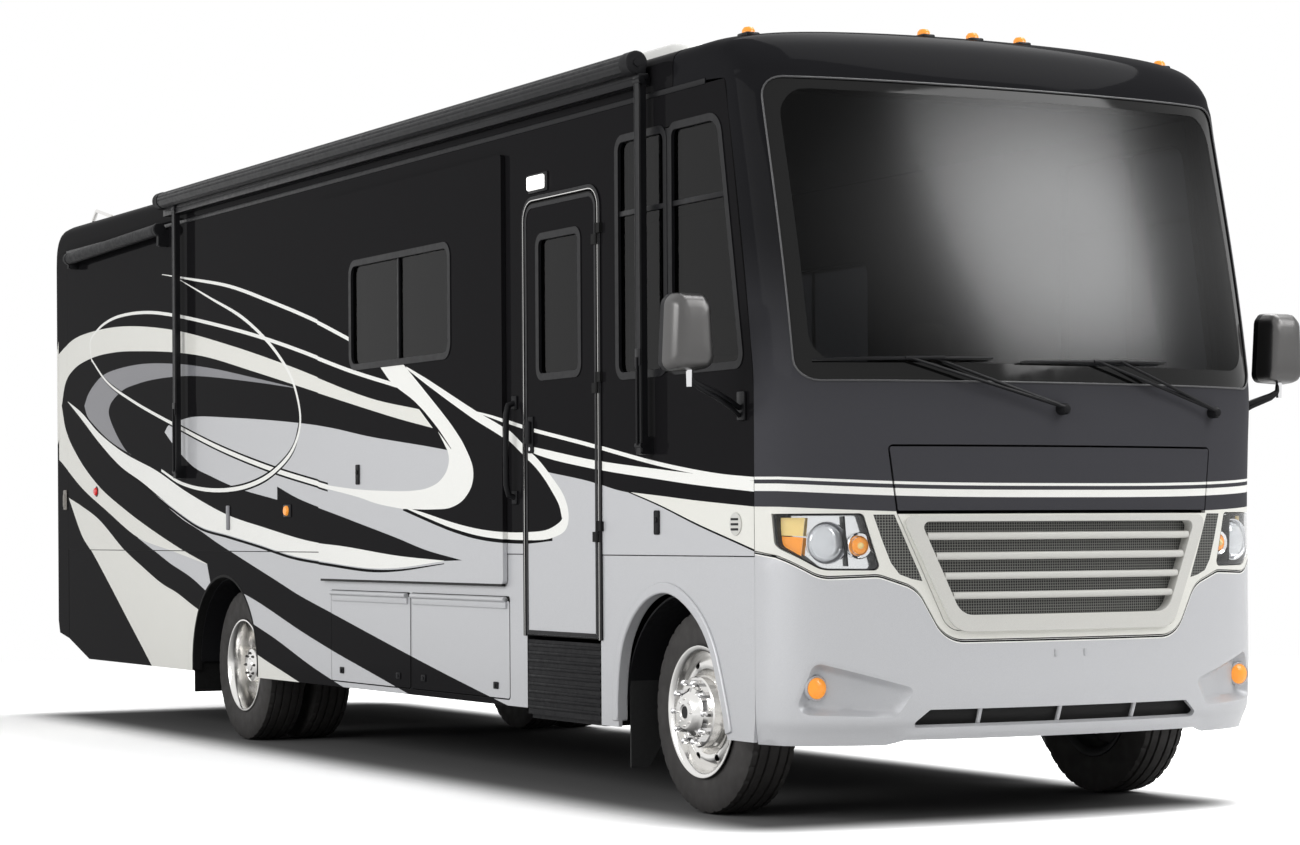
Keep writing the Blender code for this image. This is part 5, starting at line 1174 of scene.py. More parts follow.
# Headlamps: a bright housing in a black wall, its lamps, and a clear cover
for side, tag in SIDES:
    line = on_side(shrink(HEADLAMP, 0.0015), side)
    rows = [1.12 + 0.03 * k for k in range(8)]
    cover = patch(f"headlamp_cover_{tag}", nose, line, [], "clear", -0.006, -0.001, rows, 90, margin=0.012)
    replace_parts(cover, f"headlight_{tag}")
    patch(f"headlamp_housing_{tag}", nose, line, [], "chrome", -0.095, -0.085, rows, 90, margin=0.012)
    edge = to_s(line)
    count = len(edge)
    inner_edge = (to_s(shrink(line, 0.004)) * 2)[:count]
    points = [nose.place(a, b, d) for loop in (edge, inner_edge) for a, b in loop for d in (-0.088, -0.007)]
    faces = []
    m = 2 * count
    for i in range(count):
        o, q = 2 * i, 2 * ((i + 1) % count)
        faces += [(o, q, q + 1, o + 1), (m + o, m + o + 1, m + q + 1, m + q),
                  (o + 1, q + 1, m + q + 1, m + o + 1),
                  (o, m + o, m + q, q)]
    Shape().add(points, faces).make(f"headlamp_wall_{tag}", "plastic", smooth=None)

    def lamp_part(part, key, profile, y, t, d, segments=28):
        """A turned part of the lamp, its axis turned most of the way to straight ahead."""
        s = s_of(side * -y)
        place = nose.place(s, t, d)
        axis = (nose.out(s, t) + Vector((1.6, 0, 0))).normalized()
        turn = Vector((1, 0, 0)).rotation_difference(axis).to_matrix()
        shape = Shape().lathe(profile, (0, 0, 0), segments, "X")
        shape.points = [tuple(turn @ Vector(p) + place) for p in shape.points]
        shape.make(f"headlamp_{part}_{tag}", key)

    bowl = [(-0.030, 0.0), (-0.030, 0.065), (0.004, 0.088), (0.030, 0.0945), (0.030, 0.0905), (0.006, 0.083),
            (-0.022, 0.060), (-0.022, 0.0)]
    ribs = [(0.034 * cos(pi / 2 * k / 14) - 0.004 + 0.0020 * (k % 2), 0.080 * sin(pi / 2 * k / 14))
            for k in range(14, 0, -1)]
    lens = [(-0.02, 0.0), (-0.02, 0.030), (0.010, 0.036), (0.018, 0.030), (0.020, 0.018), (0.016, 0.0)]
    bulb = [(0.010, 0.0), (0.010, 0.016), (0.024, 0.014), (0.030, 0.007), (0.031, 0.0)]
    collar = [(-0.030, 0.036), (-0.030, 0.046), (0.010, 0.057), (0.014, 0.053), (0.008, 0.042)]
    lamp_part("bowl", "chrome", bowl, -1.110, 1.218, -0.062)
    lamp_part("projector", "projector", [(-0.012, 0.0), (-0.012, 0.080), *ribs, (0.030, 0.0)], -1.110,
              1.218, -0.050, 40)
    lamp_part("indicator", "amber", lens, -0.972, 1.205, -0.048)
    lamp_part("bulb", "yellow", bulb, -0.972, 1.205, -0.048, 20)
    lamp_part("indicator_ring", "chrome", collar, -0.972, 1.205, -0.048)
    reflector = [(-1.262, 1.246), (-1.256, 1.205), (-1.200, 1.158), (-1.192, 1.240)]
    side_lamp = [(-1.262, 1.325), (-1.262, 1.250), (-1.192, 1.246), (-1.184, 1.325)]
    divider = [(-1.040, 1.330), (-1.026, 1.118), (-1.020, 1.118), (-1.032, 1.330)]
    # The side reflector takes the glowing amber lens: a painted glow, as a reflector is no lamp.
    for part, key, loop, low, high, rows in (("side_reflector", "amber", reflector, -0.050, -0.040, [1.2]),
                                             ("side_lamp", "yellow", side_lamp, -0.050, -0.038, [1.28]),
                                             ("divider", "plastic", divider, -0.085, -0.018,
                                              [1.2, 1.25, 1.3])):
        patch(f"headlamp_{part}_{tag}", nose, on_side(loop, side), [], key, low, high, rows, 90, margin=0.01)

    # Fog lamp in the recess
    place = tuple(nose.place(s_of(side * 1.150), 0.601, -0.036))
    rim = [(-0.03, 0.0), (-0.03, 0.052), (0.010, 0.054), (0.013, 0.050), (0.010, 0.047), (0.010, 0.0)]
    # The rim takes the recess's painted-shade silver.
    Shape().lathe(rim, place, 28, "X").make(f"fog_lamp_rim_{tag}", "recess")
    lens = [(0.0, 0.0), (0.0, 0.046), (0.012, 0.045), (0.024, 0.030), (0.028, 0.0)]
    Shape().lathe(lens, place, 28, "X").make(f"fog_lamp_lens_{tag}", "amber")

# Rear cap: one skin round the back, and a strip down each side
S_FINE = [-1, -0.995, -0.985, -0.97, -0.95, -0.92, -0.88, -0.82, -0.74, -0.62, -0.45, -0.22, 0]
S_FINE = S_FINE + [-v for v in S_FINE[-2::-1]]
TAIL_TS = [0.57, 0.60, 0.66, 1.0, 1.5, 2.0, 2.5, 3.0, 3.14] + [3.14 + 0.02 * k for k in range(1, 25)]
tail_flat = ([(a, b) for b in TAIL_TS for a in S_FINE], grid_faces(len(TAIL_TS), len(S_FINE)))
tail_skin = Shape().sheet(tail_flat, lambda a, b: tail.place(a, b, -0.020), lambda a,
                          b: tail.place(a, b, 0.0))
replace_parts(tail_skin.make("rear_cap_skin", "dark", smooth=50), "rear_cap")
for side, tag in SIDES:
    strip = [(-9.1895, 0.57), (REAR_SEAM_X - GROOVE, 0.537), (REAR_SEAM_X - GROOVE, 3.2585), (-9.04, 3.2585),
             (-9.10, 3.2545), (-9.15, 3.2425), (-9.180, 3.2145), (-9.1895, 3.140)]
    painted(f"rear_side_{tag}", strip, [], SIDE_REGIONS, "dark", side_place(side), low=-0.020, high=0.0)
    wrap = [(1.0, 1.846), (0.95, 1.90), (0.80, 2.02), (0.60, 2.17), (0.45, 2.26), (0.60, 2.32),
            (0.80, 2.42), (0.95, 2.485),
            (1.0, 2.525)]
    loop = [(side * a, b) for a, b in wrap]
    fine = [(side * (1 - 0.02 * i), 1.84 + 0.03 * j) for i in range(1, 30) for j in range(24)]
    fine = [q for q in clear_of(fine, [loop], 0.004) if inside_many(loop, np.array([q]))[0]]
    flat = mesh_2d(split_long(loop, 0.02), [], fine)
    Shape().sheet(flat, lambda a, b: tail.place(a, b, -0.004), lambda a, b: tail.place(a, b, 0.0012)).make(
        f"rear_stroke_{tag}", "cream", smooth=50)

# Roof: a crowned skin, pale in the middle
ROOF_X0, ROOF_X1 = REAR_SEAM_X + 0.001, CAP_END_X - 0.001
EDGE_S = s_of(1.17)


def roof_band(name, ss, key):
    """A crowned strip as long as the roof, across the places ss."""
    xs = [ROOF_X0 + (ROOF_X1 - ROOF_X0) * k / 12 for k in range(13)]
    flat = ([(x, a) for x in xs for a in ss], grid_faces(len(xs), len(ss)))

    def place(x, a, d):
        f = max(cos(a * pi / 2), 0.0) ** 0.25
        return (x, (HALF_W + d) * sin(a * pi / 2), 3.260 + 0.235 * f + d)

    shape = Shape().sheet(flat, lambda x, a: place(x, a, -0.004), lambda x, a: place(x, a, 0.0012))
    shape.make(name, key, smooth=50)

edge_ss = [EDGE_S + (1 - EDGE_S) * (1 - (1 - k / 16) ** 2) for k in range(17)]
roof_band("roof_edge_left", edge_ss, "dark")
roof_band("roof_edge_right", [-a for a in reversed(edge_ss)], "dark")
roof_band("roof_membrane", [EDGE_S * (k / 12 - 1) for k in range(25)], "roof")
for side, tag in SIDES:
    Shape().box((REAR_SEAM_X + 0.002, side * (HALF_W - 0.004), 3.2365),
                (CAP_END_X + 0.30, side * (HALF_W + 0.006), 3.262),
                0.003).make(f"gutter_{tag}", "satin")


# Windows: black frames, sliders and tinted panes
def window(name, line, side, node, body="coach", proud=0.0, bars=(), inset=0.020, frame_out=0.014):
    base = HALF_W + proud
    ys = (side * (base - 0.010), side * (base + 0.006))
    ring = Shape().plate(shrink(line, -frame_out), [shrink(line, inset)], *ys)
    for x0, z0, x1, z1 in bars:
        ring.box((x0, side * (base - 0.012), z0), (x1, side * (base + 0.001), z1), 0.002)
    ring.make(f"{name}_frame", "satin", body, 40)
    pane = Shape().plate(shrink(line, 0.006), [], side * (base - 0.020), side * (base - 0.012)).make(
        f"{name}_pane", "tint", body, 40)
    if node:
        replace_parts(pane, node)
    return pane


front_glass = rounded([(-0.080, 1.985), (0.567, 1.985), (0.37, 3.09), (-0.080, 3.09)],
                      [0.05, 0.05, 0.10, 0.05])
rear_glass = rectangle(-0.60, 1.985, -0.120, 3.09, 0.06)
for side, tag in SIDES:
    pane = window(f"cab_window_front_{tag}", front_glass, side, None, bars=[(-0.065, 2.728, 0.420, 2.752)])
    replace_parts(pane, f"cab_window_{tag}")
    window(f"cab_window_rear_{tag}", rear_glass, side, None, bars=[(-0.585, 2.728, -0.135, 2.752)])
    Shape().box((-0.121, side * (HALF_W - 0.020), 1.99), (-0.079, side * (HALF_W + 0.004), 3.085),
                0.003).make(
        f"cab_window_post_{tag}", "satin")
window("slideout_window", LIVING_GLASS, -1, "slideout_glass", "slideout", 0.026,
       [(-3.100, 2.19, -3.078, 2.75)])
window("living_window", LEFT_GLASS, 1, "living_window_left", bars=[(-3.100, 2.01, -3.078, 2.75)])
window("entry_door_window", DOOR_GLASS, -1, "entry_door_glass", "entry_door", 0.006)


# Tyres with grooves and shoulder notches, and polished wheels
def tyre(name, centre, side, body, node):
    half = TYRE_W / 2
    grooves = (-0.62, -0.22, 0.22, 0.62)
    crown = []
    for k in range(-40, 41):
        u = k / 40 * 0.86
        r = TYRE_R - 0.012 * abs(u) ** 3.2
        g = min(abs(u - q) for q in grooves)
        if g < 0.045:
            r -= 0.012
        crown.append((u * half, r, g < 0.045))
    kept = [c for i, c in enumerate(crown) if i in (0, 80) or i % 10 == 0 or c[2] != crown[i - 1][2]
            or (i < 80 and c[2] != crown[i + 1][2])]
    wall = [(0.93, -0.026), (0.975, -0.060), (0.995, -0.095), (0.985, -0.125), (0.955, -0.150),
            (0.93, -0.163)]
    profile = [(-u * half, TYRE_R + d) for u, d in wall[::-1]] + [(c[0], c[1]) for c in kept]
    profile += [(u * half, TYRE_R + d) for u, d in wall]
    profile += [(k * half, RIM + d) for k, d in ((0.90, 0.002), (0.84, 0.001), (-0.84, 0.001),
                                                 (-0.90, 0.002))]
    segments = 216

    def wave(along, radius, k):
        u = abs(along) / half
        if u > 0.985 or radius < TYRE_R - 0.05:
            return 0.0
        if u > 0.66:
            return -0.006 if k % 6 == 0 else 0.0
        return -0.004 if (k + int(u * 9) * 2) % 9 == 0 and radius > TYRE_R - 0.010 else 0.0

    shape = Shape().lathe([(y * side, r) for y, r in profile], centre, segments, "Y", wave)
    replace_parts(shape.make(name, "tyre", body, 38), node)


def disc(profile, holes, hole_r, hole_at, y0, y1, centre, side, name, body, outer, inner_r):
    """A wheel disc with hand holes; profile gives the height of its face at a radius."""
    rings = [[(r * cos(2 * pi * k / 64), r * sin(2 * pi * k / 64)) for k in range(64)]
             for r in (outer, inner_r)]
    cuts = []
    for i in range(holes):
        a = 2 * pi * (i + 0.5) / holes
        cuts.append([(hole_at * cos(a)
                      + hole_r * cos(2 * pi * k / 18) * cos(a) - hole_r * 1.25 * sin(2 * pi * k / 18) * sin(a),
                      hole_at * sin(a) + hole_r * cos(2 * pi * k / 18) * sin(a)
                      + hole_r * 1.25 * sin(2 * pi * k / 18) * cos(a))
                     for k in range(18)])
    inner = [(r * cos(2 * pi * (k + j / 2) / 64), r * sin(2 * pi * (k + j / 2) / 64))
             for j, r in enumerate(inner_r + (outer - inner_r) * q / 6 for q in range(1, 6))
             for k in range(64)]
    inner = clear_of(inner, [*rings, *cuts], 0.004)
    flat = mesh_2d(rings[0], [rings[1], *cuts], inner)

    def place(d):
        return lambda u, v: (centre[0] + u, centre[1] + side * (profile(sqrt(u * u + v * v)) + d), centre[2]
                             + v)

    Shape().sheet(flat, place(y0), place(y1)).make(name, "alloy", body, 40)


def nuts(name, count, radius, y0, y1, centre, side, body, size=0.0165, key="chrome"):
    shape = Shape()
    for i in range(count):
        a = 2 * pi * i / count
        place = (centre[0] + radius * cos(a), centre[1], centre[2] + radius * sin(a))
        shape.lathe([(side * y0, 0.0), (side * y0, size), (side * (y0 + (y1 - y0) * 0.5), size * 0.95)],
                    place, 6)
        shape.lathe([(side * (y0 + (y1 - y0) * 0.45), 0.0), (side * (y0 + (y1 - y0) * 0.45), size * 0.82),
                     (side * (y1 - 0.006), size * 0.74), (side * y1, size * 0.35), (side * y1, 0.0)], place,
                     12)
    shape.make(name, key, body, 35)


def wheel_part(name, profile, centre, side, segments, key, body, smooth=30):
    """A part turned about the axle; its profile runs outwards from the wheel's middle."""
    return Shape().lathe([(side * y, r) for y, r in profile], centre, segments).make(name, key, body, smooth)

def front_face(r):
    groove = ease((0.196 - r) / 0.012) - ease((0.176 - r) / 0.010)
    return 0.078 + 0.018 * ease((0.250 - r) / 0.030) - 0.034 * groove

def rear_face(r):
    return -0.098 + 0.020 * ease((0.236 - r) / 0.05)

for side, tag in SIDES:
    centre = (0.0, side * FRONT_WHEEL_Y, AXLE_Z)
    body = f"front_wheel_{tag}"
    tyre(f"front_tyre_dressed_{tag}", centre, side, body, f"front_tyre_{tag}")
    flange = [(0.110, RIM - 0.002), (0.1265, RIM + 0.002), (0.1300, RIM + 0.013), (0.1325, RIM + 0.011),
              (0.1325, RIM + 0.002), (0.1270, RIM - 0.009), (0.112, RIM - 0.017), (0.092, RIM - 0.024),
              (0.070, RIM - 0.034), (0.050, RIM - 0.036), (0.050, RIM - 0.024), (0.070, RIM - 0.012)]
    rim = wheel_part(f"front_rim_flange_{tag}", flange, centre, side, 96, "alloy", body, 40)
    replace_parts(rim, f"front_rim_{tag}")
    barrel = [(0.055, RIM - 0.022), (0.055, RIM - 0.034), (-0.095, RIM - 0.040), (-0.112, RIM - 0.016),
              (-0.112, RIM - 0.002), (-0.100, RIM - 0.004)]
    wheel_part(f"front_rim_barrel_{tag}", barrel, centre, side, 64, "steel", body, 40)
    disc(front_face, 8, 0.0150, 0.219, -0.010, 0.0, centre, side, f"front_disc_{tag}", body, RIM - 0.026,
         0.160)
    hub = [(0.070, 0.168), (0.104, 0.168), (0.122, 0.163), (0.146, 0.160), (0.152, 0.154), (0.152, 0.116),
           (0.160, 0.112), (0.176, 0.108), (0.190, 0.094), (0.206, 0.086), (0.214, 0.074), (0.216, 0.036),
           (0.210, 0.031), (0.210, 0.0), (0.0, 0.0), (0.0, 0.120), (0.070, 0.120)]
    wheel_part(f"front_hub_{tag}", hub, centre, side, 72, "alloy", body)
    # Painted shade: a near-black ring in the hub's middle hole.
    bore = [(0.200, 0.0), (0.200, 0.029), (0.2115, 0.028), (0.2125, 0.0)]
    wheel_part(f"front_hub_bore_{tag}", bore, centre, side, 32, "gap", body)
    brake = [(0.000, 0.05), (0.000, RIM - 0.06), (0.004, RIM - 0.06), (0.004, 0.05)]
    wheel_part(f"front_brake_disc_{tag}", brake, centre, side, 48, "cast", body)
    nuts(f"front_nuts_{tag}", 10, 0.1365, 0.150, 0.205, centre, side, body, 0.0175)
    nuts(f"front_hub_bolts_{tag}", 8, 0.060, 0.210, 0.2215, centre, side, body, 0.0075, "alloy")

    body = f"rear_wheels_{tag}"
    for y, place in ((REAR_OUTER_Y, "outer"), (REAR_INNER_Y, "inner")):
        node = f"rear_tyre_{tag}_{place}"
        tyre(f"rear_tyre_dressed_{tag}_{place}", (-WHEELBASE, side * y, AXLE_Z), side, body, node)
    centre = (-WHEELBASE, side * REAR_OUTER_Y, AXLE_Z)
    barrel = [(0.112, RIM - 0.002), (0.1175, RIM - 0.006), (0.1175, RIM - 0.014), (0.112, RIM - 0.019),
              (0.085, RIM - 0.030), (0.020, RIM - 0.040), (-0.095, RIM - 0.048), (-0.105, RIM - 0.048),
              (-0.105, RIM - 0.034), (-0.112, RIM - 0.012), (-0.112, RIM - 0.002)]
    rim = wheel_part(f"rear_rim_barrel_{tag}", barrel, centre, side, 72, "alloy", body, 40)
    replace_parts(rim, f"rear_rim_{tag}")
    inner = (-WHEELBASE, side * REAR_INNER_Y, AXLE_Z)
    wheel_part(f"rear_rim_inner_{tag}", barrel, inner, -side, 48, "alloy", body, 40)
    disc(rear_face, 10, 0.0160, 0.205, -0.010, 0.0, centre, side, f"rear_disc_{tag}", body, RIM - 0.044,
         0.165)
    hub = [(-0.090, 0.168), (-0.076, 0.168), (-0.074, 0.150), (-0.076, 0.122), (-0.070, 0.116),
           (0.055, 0.106),
           (0.068, 0.100), (0.074, 0.088), (0.076, 0.040), (0.082, 0.036), (0.084, 0.0), (-0.15, 0.0),
           (-0.15, 0.120), (-0.090, 0.120)]
    wheel_part(f"rear_hub_{tag}", hub, centre, side, 64, "alloy", body)
    nuts(f"rear_nuts_{tag}", 10, 0.143, -0.075, -0.040, centre, side, body)
    nuts(f"rear_hub_bolts_{tag}", 8, 0.072, 0.074, 0.088, centre, side, body, 0.009, "cast")
    drum = [(-0.165, 0.05), (-0.165, RIM - 0.055), (-0.150, RIM - 0.055), (-0.150, 0.05)]
    wheel_part(f"rear_brake_drum_{tag}", drum, centre, side, 48, "cast", body)

# Mirrors: a rounded shell, dark rim, glass and a bent arm
for side, tag in SIDES:
    mid_y, mid_z = HALF_W + 0.306, 2.116
    outline = rounded([(0.199, 1.958), (0.413, 1.948), (0.398, 2.247), (0.364, 2.282), (0.248, 2.282),
                       (0.218, 2.247)],
                      [0.040, 0.045, 0.050, 0.030, 0.030, 0.045], 6)
    outline = [(HALF_W + a, b) for a, b in outline]
    rows = ((0.560, 0.955), (0.566, 0.985), (0.578, 1.0), (0.600, 1.0), (0.640, 0.985), (0.668, 0.95),
            (0.686, 0.88),
            (0.696, 0.76), (0.700, 0.58), (0.7015, 0.30))
    points = []
    for x, k in rows:
        points += [(x, side * (mid_y + (a - mid_y) * k), mid_z + (b - mid_z) * k) for a, b in outline]
    faces = capped_faces(len(rows), len(outline))
    shell = Shape().add(points, faces).make(f"mirror_shell_{tag}", "brushed", smooth=45)
    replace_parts(shell, f"mirror_{tag}")
    loop = [(side * (mid_y + (a - mid_y) * 1.004), mid_z + (b - mid_z) * 1.004) for a, b in outline]
    hole = [(side * (mid_y + (a - mid_y) * 0.90), mid_z + (b - mid_z) * 0.90) for a, b in outline]
    Shape().plate(loop, [hole], 0.556, 0.592, "X").make(f"mirror_rim_{tag}", "satin", bevel=0.003)
    Shape().plate(hole, [], 0.5595, 0.5585, "X").make(f"mirror_glass_{tag}", "mirror")
    arm = [(0.565, HALF_W + 0.020, 1.800), (0.590, HALF_W + 0.070, 1.822), (0.612, HALF_W + 0.160, 1.862),
           (0.630, HALF_W + 0.255, 1.893), (0.634, HALF_W + 0.292, 1.912), (0.634, HALF_W + 0.302, 1.965)]
    path = [(p[0], side * p[1], p[2]) for p in arm]
    low = [(p[0], p[1], p[2] - 0.034 * (1 - i / 5)) for i, p in enumerate(path)]
    Shape().tube(path, 0.0125, 12).tube(low, 0.0105, 12).make(f"mirror_arm_{tag}", "satin", smooth=60)
    Shape().box((0.532, side * (HALF_W + 0.001), 1.745), (0.598, side * (HALF_W + 0.018), 1.872), 0.008).make(
        f"mirror_base_{tag}", "satin")
    Shape().lathe([(-0.012, 0.0), (-0.012, 0.013), (0.060, 0.015), (0.060, 0.0)],
                  (0.634, side * (HALF_W + 0.302), 1.895), 20,
                  "Z").make(f"mirror_pivot_{tag}", "chrome")

# Wipers: blade, twin arm and pivot cap
for pivot, tip_a, tip_b, tag in ((-0.018, -1.15, -0.36, "right"), (0.867, -0.215, 0.573, "left")):
    blade = [on_nose(tip_a + (tip_b - tip_a) * k / 12, 1.990 + 0.012 * k / 12, 0.014) for k in range(13)]
    spine = [on_nose(tip_a + (tip_b - tip_a) * k / 12, 1.990 + 0.012 * k / 12, 0.027) for k in range(13)]
    Shape().tube(blade, 0.0055, 8).make(f"wiper_blade_{tag}", "rubber")
    Shape().tube(spine, [0.003 + 0.005 * sin(pi * k / 12) for k in range(13)], 8).make(f"wiper_spine_{tag}",
            "satin")
    middle = on_nose((tip_a + tip_b) / 2, 1.997, 0.034)
    for k, shift in ((0, 0.0), (1, 0.075)):
        start = on_nose(pivot - shift * 0.55, 1.792 + 0.012 * k, 0.046)
        end = middle + Vector((0, shift * 1.7, 0.0))
        bend = (start + end) / 2 + Vector((0.022, 0, -0.006))
        Shape().tube([start, bend, end], [0.0095, 0.0075, 0.006], 8).make(f"wiper_arm_{tag}_{k}", "satin")
    cap = on_nose(pivot, 1.788, 0.020)
    Shape().lathe([(-0.02, 0.0), (-0.02, 0.026), (0.02, 0.025), (0.034, 0.016), (0.038, 0.0)], tuple(cap),
                  20, "X").make(
        f"wiper_pivot_{tag}", "plastic")
    Shape().tube([on_nose((tip_a + tip_b) / 2 - 0.02, 1.996, 0.034),
                  on_nose((tip_a + tip_b) / 2 + 0.16, 2.000, 0.034)],
                 0.007, 8).make(f"wiper_joint_{tag}", "satin")
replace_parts(bpy.data.objects["wiper_blade_right"], "wiper_right")
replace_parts(bpy.data.objects["wiper_blade_left"], "wiper_left")

# Marker lamps on the brow
for i, (y, t) in enumerate(((-1.124, 3.60), (-0.262, 3.56), (0.0, 3.56), (0.262, 3.56), (1.124, 3.60))):
    foot = on_nose(y, t, -0.004)
    Shape().box(foot + Vector((-0.045, -0.035, -0.012)), foot + Vector((0.045, 0.035, 0.012)), 0.008).make(
        f"marker_base_{i}", "satin")
    Shape().lathe([(0.0, 0.0), (0.0, 0.030), (0.016, 0.029), (0.028, 0.020), (0.033, 0.0)],
                  tuple(foot + Vector((0, 0, 0.008))),
                  24, "Z").make(f"marker_lens_{i}", "amber")


# Side fittings
DOOR_FRAME_Y = -(HALF_W + 0.0005)
door_hole = rounded([(DOOR_X0, DOOR_Z0), (DOOR_X1, DOOR_Z0), (DOOR_X1, DOOR_Z1), (DOOR_X0, DOOR_Z1)],
                    [0.0, 0.0, 0.09, 0.09])
frame_line = [(x, max(z, DOOR_Z0 + 0.001)) for x, z in shrink(door_hole, -0.026)]
inner_line = [(x, z if z > DOOR_Z0 + 0.01 else DOOR_Z0 + 0.003) for x, z in shrink(door_hole, -0.001)]


def open_frame(outer, inner):
    """A frame open at the foot: the outer line up and over, the inner line back."""
    a = [p for p in outer if p[1] > DOOR_Z0 + 0.02]
    b = [p for p in inner if p[1] > DOOR_Z0 + 0.02]
    low = DOOR_Z0 + 0.002
    return [(a[0][0], low), *a, (a[-1][0], low), (b[-1][0], low), *b[::-1], (b[0][0], low)]


Shape().plate(open_frame(frame_line, inner_line), [], DOOR_FRAME_Y,
              DOOR_FRAME_Y - 0.0085).make("entry_door_frame", "satin", bevel=0.002)
bright = open_frame(shrink(door_hole, -0.0075), shrink(door_hole, -0.0035))
Shape().plate(bright, [], DOOR_FRAME_Y - 0.008, DOOR_FRAME_Y - 0.0100).make("entry_door_frame_edge", "alloy")
door_edge = shrink(door_outline, 0.020)
Shape().plate(shrink(door_outline, 0.0005), [door_edge], -(HALF_W + 0.0068), -(HALF_W + 0.0098)).make(
    "entry_door_border", "satin", "entry_door", bevel=0.001)
handle = Shape().box((-1.535, -(HALF_W + 0.007), 1.655), (-1.475, -(HALF_W + 0.017), 1.835), 0.006)
handle.box((-1.530, -(HALF_W + 0.016), 1.700), (-1.486, -(HALF_W + 0.034), 1.812), 0.007)
handle.make("entry_door_handle", "plastic", "entry_door")
Shape().lathe([(-0.003, 0.0), (-0.003, 0.010), (0.0, 0.010), (0.0, 0.0)],
              (-1.505, -(HALF_W + 0.0175), 1.676), 16).make(
    "entry_door_lock", "chrome", "entry_door")
grab = [(-1.700, HALF_W + 0.001, 1.44), (-1.700, HALF_W + 0.040, 1.452), (-1.700, HALF_W + 0.052, 1.50),
        (-1.700, HALF_W + 0.054, 1.675), (-1.700, HALF_W + 0.052, 1.85), (-1.700, HALF_W + 0.040, 1.898),
        (-1.700, HALF_W + 0.001, 1.91)]
grab_bar = Shape().tube([(x, -y, z) for x, y, z in grab], 0.015, 12)
for z in (1.44, 1.91):
    grab_bar.box((-1.728, -HALF_W, z - 0.034), (-1.672, -(HALF_W + 0.012), z + 0.034), 0.005)
grab_bar.make("grab_handle", "plastic", smooth=50)
Shape().box((-1.525, -HALF_W, 2.925), (-1.315, -(HALF_W + 0.010), 3.020), 0.006).make("porch_lamp_base",
        "satin")
Shape().box((-1.508, -(HALF_W + 0.009), 2.937), (-1.332, -(HALF_W + 0.030), 3.008),
            0.010).make("porch_lamp_lens", "lit")


def disc_fitting(name, x, z, radius, tall, key, side=-1, body="coach", off=0.0):
    profile = [(0.0, 0.0), (0.0, radius), (tall * 0.6, radius), (tall, radius * 0.82), (tall, 0.0)]
    Shape().lathe([(side * a, r) for a, r in profile], (x, side * (HALF_W + off), z), 24).make(name, key,
            body)


